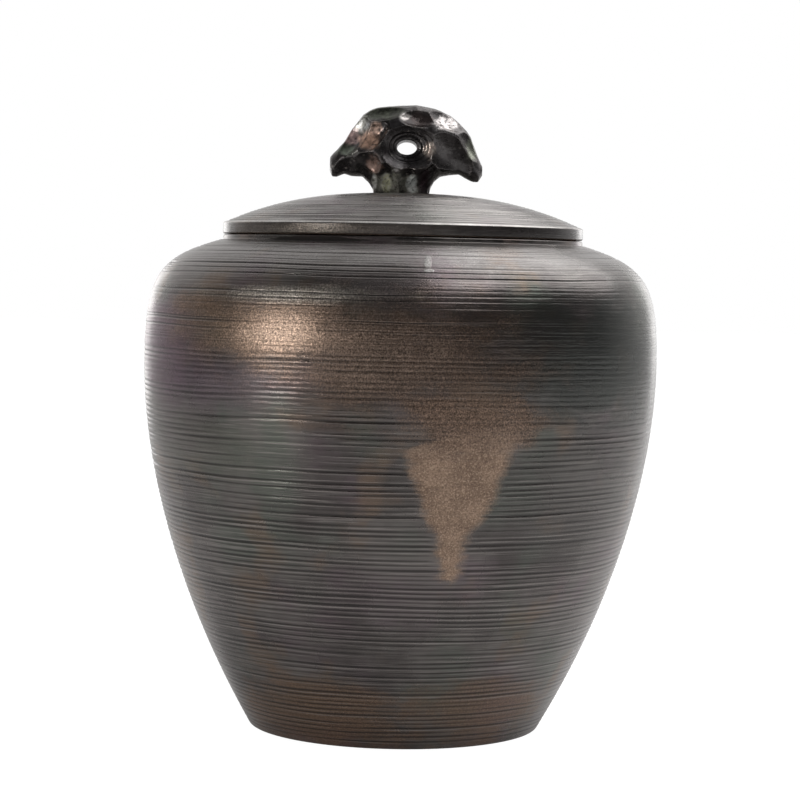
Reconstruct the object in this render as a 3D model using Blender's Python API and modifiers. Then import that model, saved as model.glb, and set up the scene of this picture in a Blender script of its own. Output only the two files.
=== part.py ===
"""Stoneware tea caddy: thrown jar, fitted lid, sealing ring and pierced knob.

Metres, +Z up. The origin is the centre of the foot, on the surface that the jar
stands on. The front is -Y: there the knob's eye opens into its stepped bowl.
"""
import math

import bmesh
import bpy
from mathutils import Matrix, Quaternion, Vector
from mathutils.bvhtree import BVHTree

MM = 0.001

# Jar, outer shape
FOOT_RADIUS = 56.5 * MM
FOOT_ROUND = 1.6 * MM
FOOT_RING_WIDTH = 7.5 * MM
FOOT_RECESS = 3.0 * MM
BELLY_RADIUS = 100.0 * MM
BELLY_HEIGHT = 143.0 * MM
NECK_RADIUS = 71.0 * MM
NECK_HEIGHT = 188.9 * MM
COLLAR_HEIGHT = 1.9 * MM
COLLAR_STEP = 0.9 * MM
LIP_ROUND = 0.7 * MM

# Handles of the two curves of the jar's side, as shares of the curve's own width and rise
FLANK_SPREAD_SHARE = 0.68
FLANK_RISE_SHARE = 0.353
BELLY_LOW_SHARE = 0.283
SHOULDER_RISE_SHARE = 0.686
SHOULDER_REACH_SHARE = 0.834
SHOULDER_DROP_SHARE = 0.153

# Jar, inner shape
WALL = 6.0 * MM
FLOOR = 8.5 * MM
FLOOR_ROUND = 9.0 * MM
THROAT_RADIUS = 62.0 * MM
THROAT_DEPTH = 9.5 * MM
THROAT_ROUND = 2.0 * MM

# Lid
LID_RADIUS = 70.2 * MM
LID_RIM_HEIGHT = 4.3 * MM
LID_RIM_ROUND = 0.7 * MM
LID_REST_GAP = 0.35 * MM
CROWN_RISE = 12.8 * MM
CROWN_POWER = 2.6
CROWN_WALL = 6.0 * MM
FLANGE_GAP = 2.2 * MM
FLANGE_WALL = 5.0 * MM
FLANGE_DEPTH = 10.0 * MM
FLANGE_ROUND = 1.0 * MM
FLANGE_ROOT_ROUND = 3.0 * MM

# Sealing ring and the groove that holds it
SEAL_HEIGHT = 6.0 * MM
SEAL_BAND = 1.6 * MM
SEAL_LIPS = 3
SEAL_LIP_ROOT_SHARE = 0.62
SEAL_LIP_TIP_SHARE = 0.22
SEAL_LIP_DROOP_SHARE = 0.25
SEAL_CLEARANCE = 0.3 * MM
GROOVE_DEPTH = 1.6 * MM
GROOVE_DROP = 1.6 * MM

# Knob, overall
KNOB_WIDTH = 59.0 * MM
KNOB_HEIGHT = 34.0 * MM
KNOB_DEPTH = 31.0 * MM
KNOB_SEAT_RADIUS = 12.5 * MM
KNOB_SEAT_GAP = 0.3 * MM
KNOB_ASIDE = -0.95 * MM
KNOB_SECTION_POWER = 2.3
KNOB_BELOW_BASE_SHARE = -0.12
STALK_RADIUS = 10.9 * MM
STALK_FLARE = 4.3 * MM
STALK_FLARE_HEIGHT = 6.4 * MM
STALK_FLATNESS = 0.87
STALK_LEAST_SHARE = 0.25

# Sections of the knob from its left tip to its right tip. Each has its place across
# the width, its underside and top in the height, and its depth.
KNOB_SECTION_SHARES = (
    (-0.476, 0.240, 0.395, 0.24),
    (-0.460, 0.172, 0.430, 0.38),
    (-0.430, 0.168, 0.480, 0.47),
    (-0.380, 0.205, 0.580, 0.58),
    (-0.330, 0.180, 0.725, 0.72),
    (-0.261, 0.178, 0.885, 0.85),
    (-0.217, 0.110, 0.935, 0.91),
    (-0.190, 0.035, 0.955, 0.94),
    (-0.166, KNOB_BELOW_BASE_SHARE, 0.970, 0.96),
    (-0.100, KNOB_BELOW_BASE_SHARE, 0.985, 1.00),
    (0.000, KNOB_BELOW_BASE_SHARE, 1.000, 1.00),
    (0.090, KNOB_BELOW_BASE_SHARE, 1.005, 1.00),
    (0.167, KNOB_BELOW_BASE_SHARE, 0.985, 0.97),
    (0.192, 0.060, 0.975, 0.95),
    (0.215, 0.135, 0.965, 0.93),
    (0.255, 0.195, 0.940, 0.88),
    (0.317, 0.215, 0.890, 0.80),
    (0.376, 0.222, 0.805, 0.72),
    (0.424, 0.180, 0.725, 0.64),
    (0.450, 0.155, 0.655, 0.58),
    (0.470, 0.140, 0.560, 0.50),
    (0.505, 0.138, 0.410, 0.38),
    (0.531, 0.215, 0.320, 0.22),
)

# Knob, scooped hollows and the flutes at the front of the stalk. Each has its place across
# the width and up the height, the side that it opens to, in degrees round from the front
# and up from level, its half-length, half-width and depth in the height, and its lean to
# the left as seen from that side.
SCOOP_SHARES = (
    ("left_outer", -0.315, 0.640, 0, 0, 0.310, 0.200, 0.105, -27),
    ("left_inner", -0.195, 0.630, 0, 0, 0.280, 0.135, 0.095, -42),
    ("left_crest", -0.140, 0.905, 0, 0, 0.310, 0.165, 0.065, -77),
    ("top", 0.092, 0.850, 0, 0, 0.250, 0.140, 0.075, -97),
    ("right_crest", 0.300, 0.830, 0, 0, 0.310, 0.180, 0.080, -119),
    ("right_outer", 0.450, 0.540, 0, 0, 0.300, 0.150, 0.050, -150),
    ("right_web", 0.325, 0.440, 0, 0, 0.390, 0.225, 0.110, -148),
    ("left_root", -0.205, 0.300, 0, 0, 0.170, 0.160, 0.075, 0),
    ("bowl_rim", 0.045, 0.515, 0, 0, 0.290, 0.345, 0.120, 0),
    ("left_wing", -0.390, 0.290, 0, 0, 0.130, 0.140, 0.025, 0),
    ("outer_flute", -0.165, 0.100, 0, 0, 0.220, 0.080, 0.040, 12),
    ("left_flute", -0.088, 0.160, 0, 0, 0.300, 0.105, 0.055, 0),
    ("right_flute", 0.036, 0.160, 0, 0, 0.300, 0.100, 0.050, 0),
    ("web_flute", 0.150, 0.190, 0, 0, 0.300, 0.085, 0.055, -25),
    ("left_shoulder", -0.280, 0.500, -125, 25, 0.290, 0.160, 0.075, 20),
    ("left_end", -0.400, 0.300, -150, 5, 0.180, 0.120, 0.055, 70),
    ("crown_left", -0.150, 0.500, -165, 52, 0.250, 0.150, 0.065, 75),
    ("crown_right", 0.130, 0.500, 170, 55, 0.260, 0.150, 0.065, -75),
    ("left_back", -0.200, 0.560, 180, 0, 0.260, 0.140, 0.070, 30),
    ("right_back", 0.250, 0.560, 180, 0, 0.290, 0.150, 0.075, -25),
    ("right_shoulder", 0.300, 0.500, 130, 30, 0.290, 0.155, 0.070, -25),
    ("right_end", 0.430, 0.280, 150, 5, 0.190, 0.120, 0.055, -65),
    ("root_back", -0.230, 0.300, 180, 0, 0.200, 0.125, 0.055, 10),
    ("heel_back", 0.270, 0.300, 180, 0, 0.200, 0.125, 0.055, -10),
)

# Knob, root-like flutes at the back of the stalk, by their place across the width
BACK_FLUTE_SHARES = (-0.110, -0.010, 0.100)
FLUTE_MIDDLE_SHARE = 0.095
FLUTE_LENGTH_SHARE = 0.215
FLUTE_WIDTH_SHARE = 0.085
FLUTE_DEPTH_SHARE = 0.045
SCOOP_BODY_SHARE = 0.20

# Knob, eye and its bowl of stepped rings
EYE_ACROSS_SHARE = 0.031
EYE_UP_SHARE = 0.512
EYE_RADIUS = 3.95 * MM
EYE_FLATNESS = 0.72
BOWL_SINK = 1.0 * MM
BOWL_RINGS = 3
BOWL_RING_PITCH = 1.98 * MM
BOWL_RING_DEPTH = 1.60 * MM
BOWL_RING_LIP_SHARE = 0.35
BOWL_FLATNESS = 0.76
BOWL_SKEW = 0.28
BACK_BOWL_RADIUS = 7.0 * MM
BACK_BOWL_DEPTH = 3.2 * MM
CUT_OVERRUN = 6.0 * MM

# Facets
TURNED_SIDES = 52
FLANK_STEPS = 10
SHOULDER_STEPS = 9
CROWN_STEPS = 9
CROWN_UNDER_STEPS = 4
ROUND_STEPS = 3
SMALL_ROUND_STEPS = 2
KNOB_RING_POINTS = 20
SCOOP_SEGMENTS = 16
SCOOP_RINGS = 9
BOWL_SIDES = 28
SHARP_ANGLE = math.radians(32.0)
MERGE_DISTANCE = 0.01 * MM

# Heights that follow from the sizes
MOUTH_HEIGHT = NECK_HEIGHT + COLLAR_HEIGHT
COLLAR_RADIUS = NECK_RADIUS - COLLAR_STEP
THROAT_BOTTOM = MOUTH_HEIGHT - THROAT_DEPTH
LID_UNDERSIDE = MOUTH_HEIGHT + LID_REST_GAP
LID_RIM_TOP = LID_UNDERSIDE + LID_RIM_HEIGHT
FLANGE_RADIUS = THROAT_RADIUS - FLANGE_GAP
FLANGE_BOTTOM = LID_UNDERSIDE - FLANGE_DEPTH
GROOVE_RADIUS = FLANGE_RADIUS - GROOVE_DEPTH
GROOVE_TOP = LID_UNDERSIDE - GROOVE_DROP
GROOVE_HEIGHT = SEAL_HEIGHT + 2 * SEAL_CLEARANCE


def clear_scene():
    """Remove every object that is already in the file."""
    for item in list(bpy.data.objects):
        bpy.data.objects.remove(item, do_unlink=True)


def new_collection(name):
    """Make a collection in the scene."""
    collection = bpy.data.collections.new(name)
    bpy.context.scene.collection.children.link(collection)
    return collection


def new_material(name, colour, roughness, metallic):
    """Make a plain Principled material."""
    material = bpy.data.materials.new(name)
    material.use_nodes = True
    shader = material.node_tree.nodes["Principled BSDF"]
    shader.inputs["Base Color"].default_value = (*colour, 1.0)
    shader.inputs["Roughness"].default_value = roughness
    shader.inputs["Metallic"].default_value = metallic
    material.diffuse_color = (*colour, 1.0)
    return material


def new_object(name, mesh, collection):
    """Put a mesh in a collection as an object."""
    item = bpy.data.objects.new(name, mesh)
    collection.objects.link(item)
    return item


def curve_points(start, start_handle, end_handle, end, steps):
    """Points of a cubic curve in the plane of radius and height, both ends included."""
    points = []
    for index in range(steps + 1):
        t = index / steps
        s = 1 - t
        points.append(s ** 3 * start + 3 * s * s * t * start_handle
                      + 3 * s * t * t * end_handle + t ** 3 * end)
    return points


def rounded(points, corner_rounds, steps):
    """Replace chosen corners of an outline by arcs.

    corner_rounds gives the radius of each corner by its index in points. An arc takes up
    no more than half of either side of its corner.
    """
    outline = []
    for index, corner in enumerate(points):
        radius = corner_rounds.get(index)
        if radius is None:
            outline.append(corner)
            continue
        last_side = points[index - 1] - corner
        next_side = points[(index + 1) % len(points)] - corner
        half_angle = last_side.angle(next_side) / 2
        reach = min(radius / math.tan(half_angle), last_side.length / 2, next_side.length / 2)
        radius = reach * math.tan(half_angle)
        towards_last = last_side.normalized()
        towards_next = next_side.normalized()
        centre = corner + (towards_last + towards_next).normalized() * radius / math.sin(half_angle)
        first = corner + towards_last * reach - centre
        last = corner + towards_next * reach - centre
        sweep = first.angle_signed(last)
        for step in range(steps + 1):
            outline.append(centre + rotated(first, sweep * step / steps))
    return outline


def rotated(vector, angle):
    """Turn a plane vector clockwise, the way that angle_signed counts."""
    return Vector((vector.x * math.cos(angle) + vector.y * math.sin(angle),
                   -vector.x * math.sin(angle) + vector.y * math.cos(angle)))


def parallel(points, distance):
    """Move an outline sideways, to the right of its own direction."""
    moved = []
    for index, point in enumerate(points):
        before = points[max(index - 1, 0)]
        after = points[min(index + 1, len(points) - 1)]
        along = (after - before).normalized()
        moved.append(point + Vector((along.y, -along.x)) * distance)
    return moved


def turned(name, outline, sides, collection, closed=False):
    """Turn an outline of (radius, height) points about Z.

    The outline runs with the clay on its right: outwards over a top, down an outer side.
    """
    mesh = bpy.data.meshes.new(name)
    edges = [(index, index + 1) for index in range(len(outline) - 1)]
    if closed:
        edges.append((len(outline) - 1, 0))
    mesh.from_pydata([(point.x, 0, point.y) for point in outline], edges, [])
    piece = new_object(name, mesh, collection)
    screw = piece.modifiers.new("turned", "SCREW")
    screw.axis = "Z"
    screw.angle = math.tau
    screw.steps = sides
    screw.render_steps = sides
    screw.use_merge_vertices = True
    screw.merge_threshold = MERGE_DISTANCE
    settle(piece)
    return piece


def settle(piece):
    """Turn a piece's modifiers into its mesh, and shade it smooth but for its sharp edges."""
    graph = bpy.context.evaluated_depsgraph_get()
    mesh = bpy.data.meshes.new_from_object(piece.evaluated_get(graph))
    mesh.name = piece.name
    piece.modifiers.clear()
    piece.data = mesh
    mesh.shade_smooth()
    mesh.set_sharp_from_angle(angle=SHARP_ANGLE)


def flank_curve():
    """The jar's side from the foot up to the belly."""
    foot = Vector((FOOT_RADIUS, 0))
    belly = Vector((BELLY_RADIUS, BELLY_HEIGHT))
    spread = (BELLY_RADIUS - FOOT_RADIUS) * FLANK_SPREAD_SHARE
    return curve_points(foot, foot + Vector((spread, BELLY_HEIGHT * FLANK_RISE_SHARE)),
                        belly - Vector((0, BELLY_HEIGHT * BELLY_LOW_SHARE)), belly, FLANK_STEPS)


def shoulder_curve():
    """The jar's side from the belly up to the neck."""
    belly = Vector((BELLY_RADIUS, BELLY_HEIGHT))
    neck = Vector((NECK_RADIUS, NECK_HEIGHT))
    rise = NECK_HEIGHT - BELLY_HEIGHT
    reach = (BELLY_RADIUS - NECK_RADIUS) * SHOULDER_REACH_SHARE
    return curve_points(belly, belly + Vector((0, rise * SHOULDER_RISE_SHARE)),
                        neck + Vector((reach, -rise * SHOULDER_DROP_SHARE)), neck, SHOULDER_STEPS)


def between_heights(points, low, high):
    """The stretch of a rising outline between two heights, with a point at its low end."""
    kept = [point for point in points if low < point.y < high]
    below = [point for point in points if point.y <= low][-1]
    share = (low - below.y) / (kept[0].y - below.y)
    return [below.lerp(kept[0], share)] + kept


def make_jar(collection):
    """The hollow thrown jar, open at its mouth."""
    side = flank_curve() + shoulder_curve()[1:]
    floor_edge, *inside = between_heights(parallel(side, -WALL), FLOOR, THROAT_BOTTOM)
    throat = rounded([inside[-1], Vector((THROAT_RADIUS, THROAT_BOTTOM)), Vector((THROAT_RADIUS, MOUTH_HEIGHT)),
                      Vector((COLLAR_RADIUS, MOUTH_HEIGHT)), Vector((COLLAR_RADIUS, NECK_HEIGHT))],
                     {1: THROAT_ROUND, 2: LIP_ROUND, 3: LIP_ROUND}, SMALL_ROUND_STEPS)
    floor = rounded([Vector((0, FLOOR)), floor_edge, inside[0]], {1: FLOOR_ROUND}, ROUND_STEPS)
    ring_inner = FOOT_RADIUS - FOOT_RING_WIDTH
    foot = rounded([side[1], side[0], Vector((ring_inner, 0)), Vector((ring_inner, FOOT_RECESS)),
                    Vector((0, FOOT_RECESS))], {1: FOOT_ROUND}, SMALL_ROUND_STEPS)
    outline = floor[:-1] + inside + throat[1:] + list(reversed(side))[:-2] + foot
    return turned("jar_body", outline, TURNED_SIDES, collection)


def crown_height(radius):
    """Height of the lid's upper face at a radius: a flat seat for the knob, then the crown."""
    share = max(radius, KNOB_SEAT_RADIUS) / LID_RADIUS
    return LID_RIM_TOP + CROWN_RISE * (1 - share ** CROWN_POWER)


def make_lid(collection):
    """The lid with its crown, upright rim, and flange with a groove for the seal."""
    crown = [Vector((0, crown_height(0)))]
    for step in range(CROWN_STEPS + 1):
        # Sine spacing puts more facets near the rim, where the crown bends most
        turn = math.sin(math.pi / 2 * step / CROWN_STEPS)
        radius = KNOB_SEAT_RADIUS + (LID_RADIUS - KNOB_SEAT_RADIUS) * turn
        crown.append(Vector((radius, crown_height(radius))))
    flange_inner = FLANGE_RADIUS - FLANGE_WALL
    under = []
    for step in range(CROWN_UNDER_STEPS + 1):
        radius = flange_inner * (1 - step / CROWN_UNDER_STEPS)
        under.append(Vector((radius, crown_height(radius) - CROWN_WALL)))
    corners = [crown[-2], crown[-1], Vector((LID_RADIUS, LID_UNDERSIDE)), Vector((FLANGE_RADIUS, LID_UNDERSIDE)),
               Vector((FLANGE_RADIUS, GROOVE_TOP)), Vector((GROOVE_RADIUS, GROOVE_TOP)),
               Vector((GROOVE_RADIUS, GROOVE_TOP - GROOVE_HEIGHT)), Vector((FLANGE_RADIUS, GROOVE_TOP - GROOVE_HEIGHT)),
               Vector((FLANGE_RADIUS, FLANGE_BOTTOM)), Vector((flange_inner, FLANGE_BOTTOM)), under[0], under[1]]
    edge = rounded(corners, {1: LID_RIM_ROUND, 2: LID_RIM_ROUND, 8: FLANGE_ROUND, 9: FLANGE_ROUND,
                             10: FLANGE_ROOT_ROUND}, SMALL_ROUND_STEPS)
    return turned("lid", crown[:-2] + edge[:-1] + under[1:], TURNED_SIDES, collection)


def make_seal(collection):
    """The soft ring in the lid's groove, with lips that reach the throat."""
    inner = GROOVE_RADIUS + SEAL_CLEARANCE
    band = inner + SEAL_BAND
    tip = THROAT_RADIUS - SEAL_CLEARANCE
    top = GROOVE_TOP - SEAL_CLEARANCE
    pitch = SEAL_HEIGHT / SEAL_LIPS
    root = pitch * SEAL_LIP_ROOT_SHARE
    point = pitch * SEAL_LIP_TIP_SHARE
    droop = pitch * SEAL_LIP_DROOP_SHARE
    outline = [Vector((inner, top)), Vector((band, top))]
    for lip in range(SEAL_LIPS):
        middle = top - pitch * (lip + 1 / 2)
        outline.append(Vector((band, middle + root / 2)))
        outline.append(Vector((tip, middle + droop + point / 2)))
        outline.append(Vector((tip, middle + droop - point / 2)))
        outline.append(Vector((band, middle - root / 2)))
    outline.append(Vector((band, top - SEAL_HEIGHT)))
    outline.append(Vector((inner, top - SEAL_HEIGHT)))
    return turned("seal_ring", outline, TURNED_SIDES, collection, closed=True)


def knob_section(across, low, high, depth):
    """One upright section of the knob, a rounded loop in the plane across the width.

    Low down the loop is drawn in to the flared round stalk, which the cap overhangs.
    """
    loop = []
    middle = (low + high) / 2
    power = 2 / KNOB_SECTION_POWER
    place = across * KNOB_WIDTH
    for index in range(KNOB_RING_POINTS):
        angle = math.tau * index / KNOB_RING_POINTS
        up = math.copysign(abs(math.sin(angle)) ** power, math.sin(angle))
        out = math.copysign(abs(math.cos(angle)) ** power, math.cos(angle))
        height = (middle + (high - low) / 2 * up) * KNOB_HEIGHT
        cap = KNOB_DEPTH / 2 * depth * out
        reach = STALK_RADIUS + STALK_FLARE * (max(height, 0) / STALK_FLARE_HEIGHT) ** 2
        stalk = STALK_FLATNESS * math.sqrt(max(reach * reach - place * place, 0))
        drawn_in = min(abs(cap), max(stalk, abs(cap) * STALK_LEAST_SHARE))
        wing = min(max((abs(place) - STALK_RADIUS) / STALK_FLARE, 0), 1)
        loop.append(Vector((place, math.copysign(drawn_in + (abs(cap) - drawn_in) * wing, cap), height)))
    return loop


def make_knob_core(collection):
    """The knob before it is carved: a loft through its sections, cut flat at its base."""
    shape = bmesh.new()
    loops = [[shape.verts.new(point) for point in knob_section(*shares)] for shares in KNOB_SECTION_SHARES]
    for left, right in zip(loops, loops[1:]):
        for index in range(KNOB_RING_POINTS):
            following = (index + 1) % KNOB_RING_POINTS
            shape.faces.new((left[index], right[index], right[following], left[following]))
    shape.faces.new(loops[0])
    shape.faces.new(list(reversed(loops[-1])))
    everything = shape.verts[:] + shape.edges[:] + shape.faces[:]
    cut = bmesh.ops.bisect_plane(shape, geom=everything, plane_co=(0, 0, 0), plane_no=(0, 0, -1), clear_outer=True)
    rim = [item for item in cut["geom_cut"] if isinstance(item, bmesh.types.BMEdge)]
    bmesh.ops.contextual_create(shape, geom=rim)
    bmesh.ops.recalc_face_normals(shape, faces=shape.faces[:])
    mesh = bpy.data.meshes.new("knob")
    shape.to_mesh(mesh)
    shape.free()
    return new_object("knob", mesh, collection)


def add_cut(piece, cutter):
    """Cut a piece with a cutter, which is then only a guide."""
    cutter.hide_render = True
    cutter.display_type = "WIRE"
    cut = piece.modifiers.new(cutter.name, "BOOLEAN")
    cut.operation = "DIFFERENCE"
    cut.solver = "EXACT"
    cut.object = cutter


def make_scoop(name, skin, aim, size, lean, collection):
    """An egg-shaped cutter that sinks into the knob's skin.

    skin is the uncarved knob. aim is the scoop's place across and up and the side that it
    opens to, and size its half-length, half-width and depth, as in the table.
    """
    across, up, around, tip = aim
    length_share, width_share, depth_share = size
    around = math.radians(around)
    tip = math.radians(tip)
    outwards = Vector((math.sin(around) * math.cos(tip), -math.cos(around) * math.cos(tip), math.sin(tip)))
    inside = Vector((across * KNOB_WIDTH, 0, up * KNOB_HEIGHT))
    point, normal, _, _ = skin.ray_cast(inside + outwards * KNOB_WIDTH, -outwards)
    body = SCOOP_BODY_SHARE * KNOB_HEIGHT
    depth = depth_share * KNOB_HEIGHT
    # The cut is narrower than the egg by this much where it meets the skin
    narrowing = math.sqrt(1 - (1 - depth / body) ** 2)
    long_way = length_share * KNOB_HEIGHT / narrowing
    short_way = width_share * KNOB_HEIGHT / narrowing
    upright = Vector((0, 0, 1))
    along = (upright - normal * upright.dot(normal)).normalized()
    along.rotate(Quaternion(normal, math.radians(lean)))
    aside = along.cross(normal)
    turn = Matrix((aside, along, normal)).transposed().to_4x4()
    size = Matrix.Diagonal((short_way, long_way, body, 1))
    shape = bmesh.new()
    bmesh.ops.create_uvsphere(shape, u_segments=SCOOP_SEGMENTS, v_segments=SCOOP_RINGS, radius=1,
                              matrix=turn @ size)
    mesh = bpy.data.meshes.new(name)
    shape.to_mesh(mesh)
    shape.free()
    scoop = new_object(name, mesh, collection)
    scoop.location = point + normal * (body - depth)
    return scoop


def make_eye(skin, collection):
    """The cutter of the knob's eye: a bowl of stepped rings, the bore, and a plain back bowl."""
    across = EYE_ACROSS_SHARE * KNOB_WIDTH
    up = EYE_UP_SHARE * KNOB_HEIGHT
    middle = Vector((across, 0, up))
    front = skin.ray_cast(middle - Vector((0, KNOB_DEPTH, 0)), Vector((0, 1, 0)))[0].y
    back = skin.ray_cast(middle + Vector((0, KNOB_DEPTH, 0)), Vector((0, -1, 0)))[0].y
    mouth = EYE_RADIUS + BOWL_RINGS * BOWL_RING_PITCH
    bowl_floor = BOWL_SINK + BOWL_RINGS * BOWL_RING_DEPTH
    # The outline's height is the way out to the front, from the front of the knob
    outline = [Vector((0, CUT_OVERRUN)), Vector((mouth + CUT_OVERRUN / 2, CUT_OVERRUN))]
    for ring in range(BOWL_RINGS):
        outer = mouth - ring * BOWL_RING_PITCH
        floor = -BOWL_SINK - ring * BOWL_RING_DEPTH
        outline.append(Vector((outer, floor)))
        outline.append(Vector((outer - BOWL_RING_PITCH * BOWL_RING_LIP_SHARE, floor - BOWL_RING_DEPTH)))
    thickness = back - front
    outline.append(Vector((EYE_RADIUS, -bowl_floor)))
    outline.append(Vector((EYE_RADIUS, BACK_BOWL_DEPTH - thickness)))
    outline.append(Vector((BACK_BOWL_RADIUS, -thickness)))
    outline.append(Vector((BACK_BOWL_RADIUS, -thickness - CUT_OVERRUN)))
    outline.append(Vector((0, -thickness - CUT_OVERRUN)))
    eye = turned("eye", outline, BOWL_SIDES, collection)
    for vertex in eye.data.vertices:
        in_bowl = vertex.co.z > -bowl_floor + MERGE_DISTANCE
        vertex.co.y *= BOWL_FLATNESS if in_bowl else EYE_FLATNESS
        vertex.co.x += BOWL_SKEW * max(vertex.co.z + bowl_floor, 0)
    eye.data.transform(Matrix.Rotation(math.pi / 2, 4, "X"))
    eye.location = (across, front, up)
    return eye


def make_knob(collection, cutters):
    """The carved and pierced knob on its seat in the middle of the lid."""
    knob = make_knob_core(collection)
    bpy.context.view_layer.update()
    skin = BVHTree.FromObject(knob, bpy.context.evaluated_depsgraph_get())
    for name, across, up, around, tip, *size, lean in SCOOP_SHARES:
        add_cut(knob, make_scoop(name, skin, (across, up, around, tip), size, lean, cutters))
    flute = (FLUTE_LENGTH_SHARE, FLUTE_WIDTH_SHARE, FLUTE_DEPTH_SHARE)
    for across in BACK_FLUTE_SHARES:
        add_cut(knob, make_scoop("back_flute", skin, (across, FLUTE_MIDDLE_SHARE, 180, 0), flute, 0, cutters))
    add_cut(knob, make_eye(skin, cutters))
    settle(knob)
    knob.location = (KNOB_ASIDE, 0, crown_height(0) + KNOB_SEAT_GAP)
    for cutter in cutters.objects:
        cutter.location += knob.location
    return knob


def main():
    """Build the caddy: the jar, and the lid with what lifts off with it."""
    clear_scene()
    parts = new_collection("tea_caddy")
    cutters = new_collection("cutters")
    body_glaze = new_material("combed_bronze_glaze", (0.090, 0.080, 0.076), 0.42, 0.55)
    lid_glaze = new_material("combed_lid_glaze", (0.110, 0.100, 0.096), 0.42, 0.55)
    knob_glaze = new_material("gunmetal_glaze", (0.060, 0.055, 0.055), 0.24, 0.65)
    silicone = new_material("clear_silicone", (0.780, 0.780, 0.750), 0.45, 0.0)

    jar = make_jar(parts)
    lid = make_lid(parts)
    seal = make_seal(parts)
    knob = make_knob(parts, cutters)
    for piece, finish in ((jar, body_glaze), (lid, lid_glaze), (seal, silicone), (knob, knob_glaze)):
        piece.data.materials.append(finish)

    # The lid turns about this empty, and the seal lifts with it
    lid_axis = bpy.data.objects.new("lid_axis", None)
    parts.objects.link(lid_axis)
    lid_axis.location = (0, 0, LID_UNDERSIDE)
    bpy.context.view_layer.update()
    for piece in (lid, seal, knob):
        piece.parent = lid_axis
        piece.matrix_parent_inverse = lid_axis.matrix_world.inverted()


main()
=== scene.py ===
"""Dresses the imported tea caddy: combed stoneware jar and lid, carved knob and sealing ring."""
import logging
import math
import random
from contextlib import contextmanager
from dataclasses import dataclass, field
from enum import Enum, IntEnum
from functools import cached_property
from typing import Callable, Iterator

import bmesh
import bpy
import numpy as np
from mathutils import Matrix, Quaternion, Vector, noise
from mathutils.bvhtree import BVHTree
from mathutils.geometry import interpolate_bezier
from mathutils.kdtree import KDTree


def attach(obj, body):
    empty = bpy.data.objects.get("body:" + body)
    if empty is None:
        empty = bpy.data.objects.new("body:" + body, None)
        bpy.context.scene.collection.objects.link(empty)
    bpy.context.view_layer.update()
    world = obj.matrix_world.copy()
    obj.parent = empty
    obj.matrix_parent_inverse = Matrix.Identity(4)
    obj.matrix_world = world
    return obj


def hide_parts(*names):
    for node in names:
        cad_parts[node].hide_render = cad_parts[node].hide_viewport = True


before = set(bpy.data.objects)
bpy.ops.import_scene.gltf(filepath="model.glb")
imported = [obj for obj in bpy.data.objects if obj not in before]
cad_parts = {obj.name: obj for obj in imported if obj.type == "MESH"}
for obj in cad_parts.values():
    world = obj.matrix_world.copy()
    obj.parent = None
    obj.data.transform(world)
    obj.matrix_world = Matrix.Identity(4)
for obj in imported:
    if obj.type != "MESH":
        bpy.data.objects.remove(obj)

LOG = logging.getLogger("tea_caddy")
MM = 0.001
WELD = 1e-6
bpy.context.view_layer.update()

Piece = bpy.types.Object
Material = bpy.types.Material
Socket = bpy.types.NodeSocket
Outline = list[Vector]
Triple = tuple[float, float, float]


class Slot(Enum):
    """The finishes that the record names."""

    BODY = "combed_bronze_glaze"
    LID = "combed_lid_glaze"
    KNOB = "gunmetal_glaze"
    SEAL = "clear_silicone"


class Body(Enum):
    """The moving bodies of the caddy."""

    JAR = "jar"
    LID = "lid"
    SEAL = "seal"


class Coat(IntEnum):
    """What a face of the jar or the lid wears, in the order of their materials."""

    GLAZE = 0
    LINER = 1
    CLAY = 2
    RIM = 3


class Bench:
    """Blender's hand tools, used on one piece at a time."""

    @staticmethod
    def clear() -> None:
        """Leave edit mode and let go of everything."""
        if bpy.context.object and bpy.context.object.mode != "OBJECT":
            bpy.ops.object.mode_set(mode="OBJECT")
        bpy.ops.object.select_all(action="DESELECT")

    @staticmethod
    def take(piece: Piece) -> None:
        """Pick up one piece alone.

        Args:
            piece: The piece to select and make active.
        """
        Bench.clear()
        piece.select_set(True)
        bpy.context.view_layer.objects.active = piece

    @staticmethod
    @contextmanager
    def editing(piece: Piece) -> Iterator[None]:
        """Open a piece in edit mode with all of it selected, and close it again.

        Args:
            piece: The piece to edit.
        """
        Bench.take(piece)
        bpy.ops.object.mode_set(mode="EDIT")
        bpy.ops.mesh.select_all(action="SELECT")
        yield
        bpy.ops.object.mode_set(mode="OBJECT")

    @staticmethod
    def apply(piece: Piece, kind: str, **settings: object) -> None:
        """Put a modifier on a piece and apply it.

        Args:
            piece: The piece to change.
            kind: The modifier's type.
            settings: The modifier's own values.
        """
        Bench.take(piece)
        modifier = piece.modifiers.new(kind.title(), kind)
        for name, value in settings.items():
            setattr(modifier, name, value)
        bpy.ops.object.modifier_apply(modifier=modifier.name)

    @staticmethod
    def settle(piece: Piece, sharp: float) -> None:
        """Put a piece's place in its mesh and shade it smooth but for its sharp edges.

        Args:
            piece: The piece to finish.
            sharp: The angle in degrees past which an edge stays sharp.
        """
        Bench.take(piece)
        bpy.ops.object.transform_apply(location=True, rotation=True, scale=True)
        bpy.ops.object.shade_smooth_by_angle(angle=math.radians(sharp), keep_sharp_edges=False)


def point(radius: float, height: float) -> Vector:
    """A point of an outline."""
    return Vector((radius, 0.0, height))


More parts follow.
